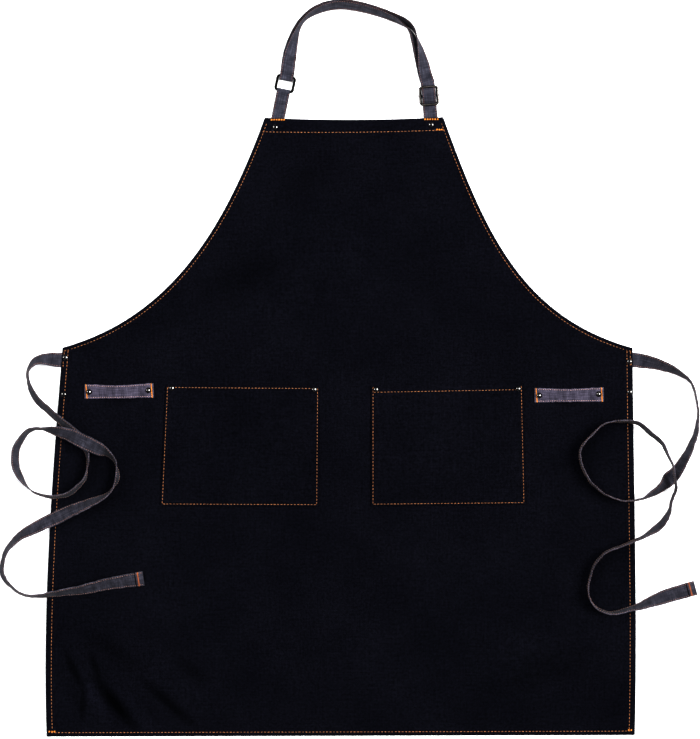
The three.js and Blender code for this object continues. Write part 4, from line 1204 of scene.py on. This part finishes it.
def build_ring():
    wire = RING.wire + RING_PLATING
    path = round_rectangle(RING.width / 2 - wire, RING.height / 2 - wire, RING.corner, RING_CORNER_STEPS)
    sections = []
    for centre, way in path:
        girth = wire + RING_PLATING * RING_SIDE_SWELL * way.x ** 2
        sections.append([centre + way * (girth * math.cos(a)) + UP * (girth * math.sin(a))
                         for a in full_turn(RING_SIDES)])
    points, faces = swept(sections)
    ring = make_piece("neck_ring_wire", placed(points, RING), faces, [GUNMETAL_AND_SLOT_SHADE])
    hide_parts("neck_ring")


def soft_square(angle, half_width, half_height, power=0.95):
    c, s = math.cos(angle), math.sin(angle)
    return (math.copysign(abs(c) ** power, c) * half_width, math.copysign(abs(s) ** power, s) * half_height)


# Faces of the slider with painted shade inside the slots and a painted highlight along the crests: how
# straight a bar runs, how far a face turns into the slot, and half the crest's width
STRAIGHT = 0.8
SLOT = -0.2
CREST = 0.42


def slider_face(way, angle):
    """Look of a face of the frame: painted shade inside the slots, a painted highlight along the crest of
    both bars.
    """
    out, rise = math.cos(angle), math.sin(angle)
    if abs(way.x) > STRAIGHT and out < SLOT:
        return 1
    return 2 if abs(way.y) > STRAIGHT and abs(out) < CREST and rise > 0 else 0


def build_slider():
    half = SLIDER.thickness / 2
    bar, side = SLIDER.bar / 2, SLIDER.side / 2
    path = round_rectangle(SLIDER.width / 2 - side, SLIDER.height / 2 - bar, SLIDER.corner - bar,
                           SLIDER_CORNER_STEPS)
    angles = full_turn(SLIDER_SIDES)
    sections = []
    for centre, way in path:
        section = [soft_square(angle, mix(bar, side, abs(way.x) ** 2), half) for angle in angles]
        sections.append([centre + way * out + UP * rise for out, rise in section])
    points, faces = swept(sections)
    looks = [slider_face(way, angle + math.pi / SLIDER_SIDES) for _, way in path for angle in angles]
    reach = SLIDER.width / 2 + MIDDLE_BAR_OVERLAP
    stations = evenly(-reach, reach, MIDDLE_BAR_STEPS)
    section = [soft_square(angle, SLIDER.middle / 2, half * MIDDLE_BAR_SHARE) for angle in angles]
    faces += tube_faces(len(stations), SLIDER_SIDES, len(points))
    points += [Vector((x, y, z)) for x in stations for y, z in section]
    looks += [0] * (len(faces) - len(looks))
    body = make_piece("neck_slider_frame", placed(points, SLIDER, half), faces,
                      [NICKEL, GUNMETAL_AND_SLOT_SHADE, CREST_HIGHLIGHT_NICKEL], face_materials=looks)
    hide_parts("neck_slider")


def build_rivet(name, x, y, plate, seat, dome, lean):
    cap = [(CAP_RADIUS * math.cos(a), seat + CAP_RIM + (dome - CAP_RIM) * math.sin(a))
           for a in [math.pi / 2 * k / CAP_STEPS for k in range(CAP_STEPS)]]
    back = plate + PLATE_THICKNESS
    inner = PLATE_RADIUS - PLATE_EDGE.inset
    profile = [(TIP_RADIUS, plate), (inner, plate), (PLATE_RADIUS, plate + PLATE_EDGE.low),
               (PLATE_RADIUS, plate + PLATE_EDGE.high), (inner, back), (SHANK_RADIUS, back),
               (SHANK_RADIUS, seat), (CAP_RADIUS - CAP_EDGE, seat), (CAP_RADIUS, seat + CAP_EDGE), *cap,
               (TIP_RADIUS, seat + dome)]
    points = []
    for radius, z in profile:
        slope = lean * radius if z >= seat else 0
        points += [(x + radius * math.cos(a), y + radius * math.sin(a), z - slope * math.cos(a))
                   for a in full_turn(RIVET_SIDES)]
    rivet = make_piece(f"{name}_cap", points, tube_faces(len(profile), RIVET_SIDES), [BLACK_NICKEL])
    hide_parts(name)


def build_floor():
    mesh = bpy.data.meshes.new("floor")
    corners = [(-1, -1), (1, -1), (1, 1), (-1, 1)]
    points = [(x * FLOOR_REACH, y * FLOOR_REACH, FLOOR_LEVEL) for x, y in corners]
    mesh.from_pydata(points, [], [(0, 1, 2, 3)])
    mesh.materials.append(floor_look())
    add_object("floor", mesh)


# Each piece of cloth and tape has wrinkles of its own
SEEDS = Sizes(ties=(3, 23), pockets=(50, 60), loops=(70, 80), tab=90, strap=100)

add_camera()
add_light()
build_floor()
for name, seed in zip(TIES, SEEDS.ties):
    build_tie(name, seed)
panel = build_panel()
topstitching = build_panel_stitches()
for (name, pocket), seed in zip(POCKETS.items(), SEEDS.pockets):
    build_pocket(name, pocket, seed)
for (name, loop), seed in zip(LOOPS.items(), SEEDS.loops):
    build_loop(name, loop, seed)
build_ring()
build_slider()
build_tab(SEEDS.tab)
build_neck_strap(SEEDS.strap)
for *sizes, places in RIVETS:
    for name, place in places.items():
        build_rivet(f"rivet_{name}", *place, *sizes)
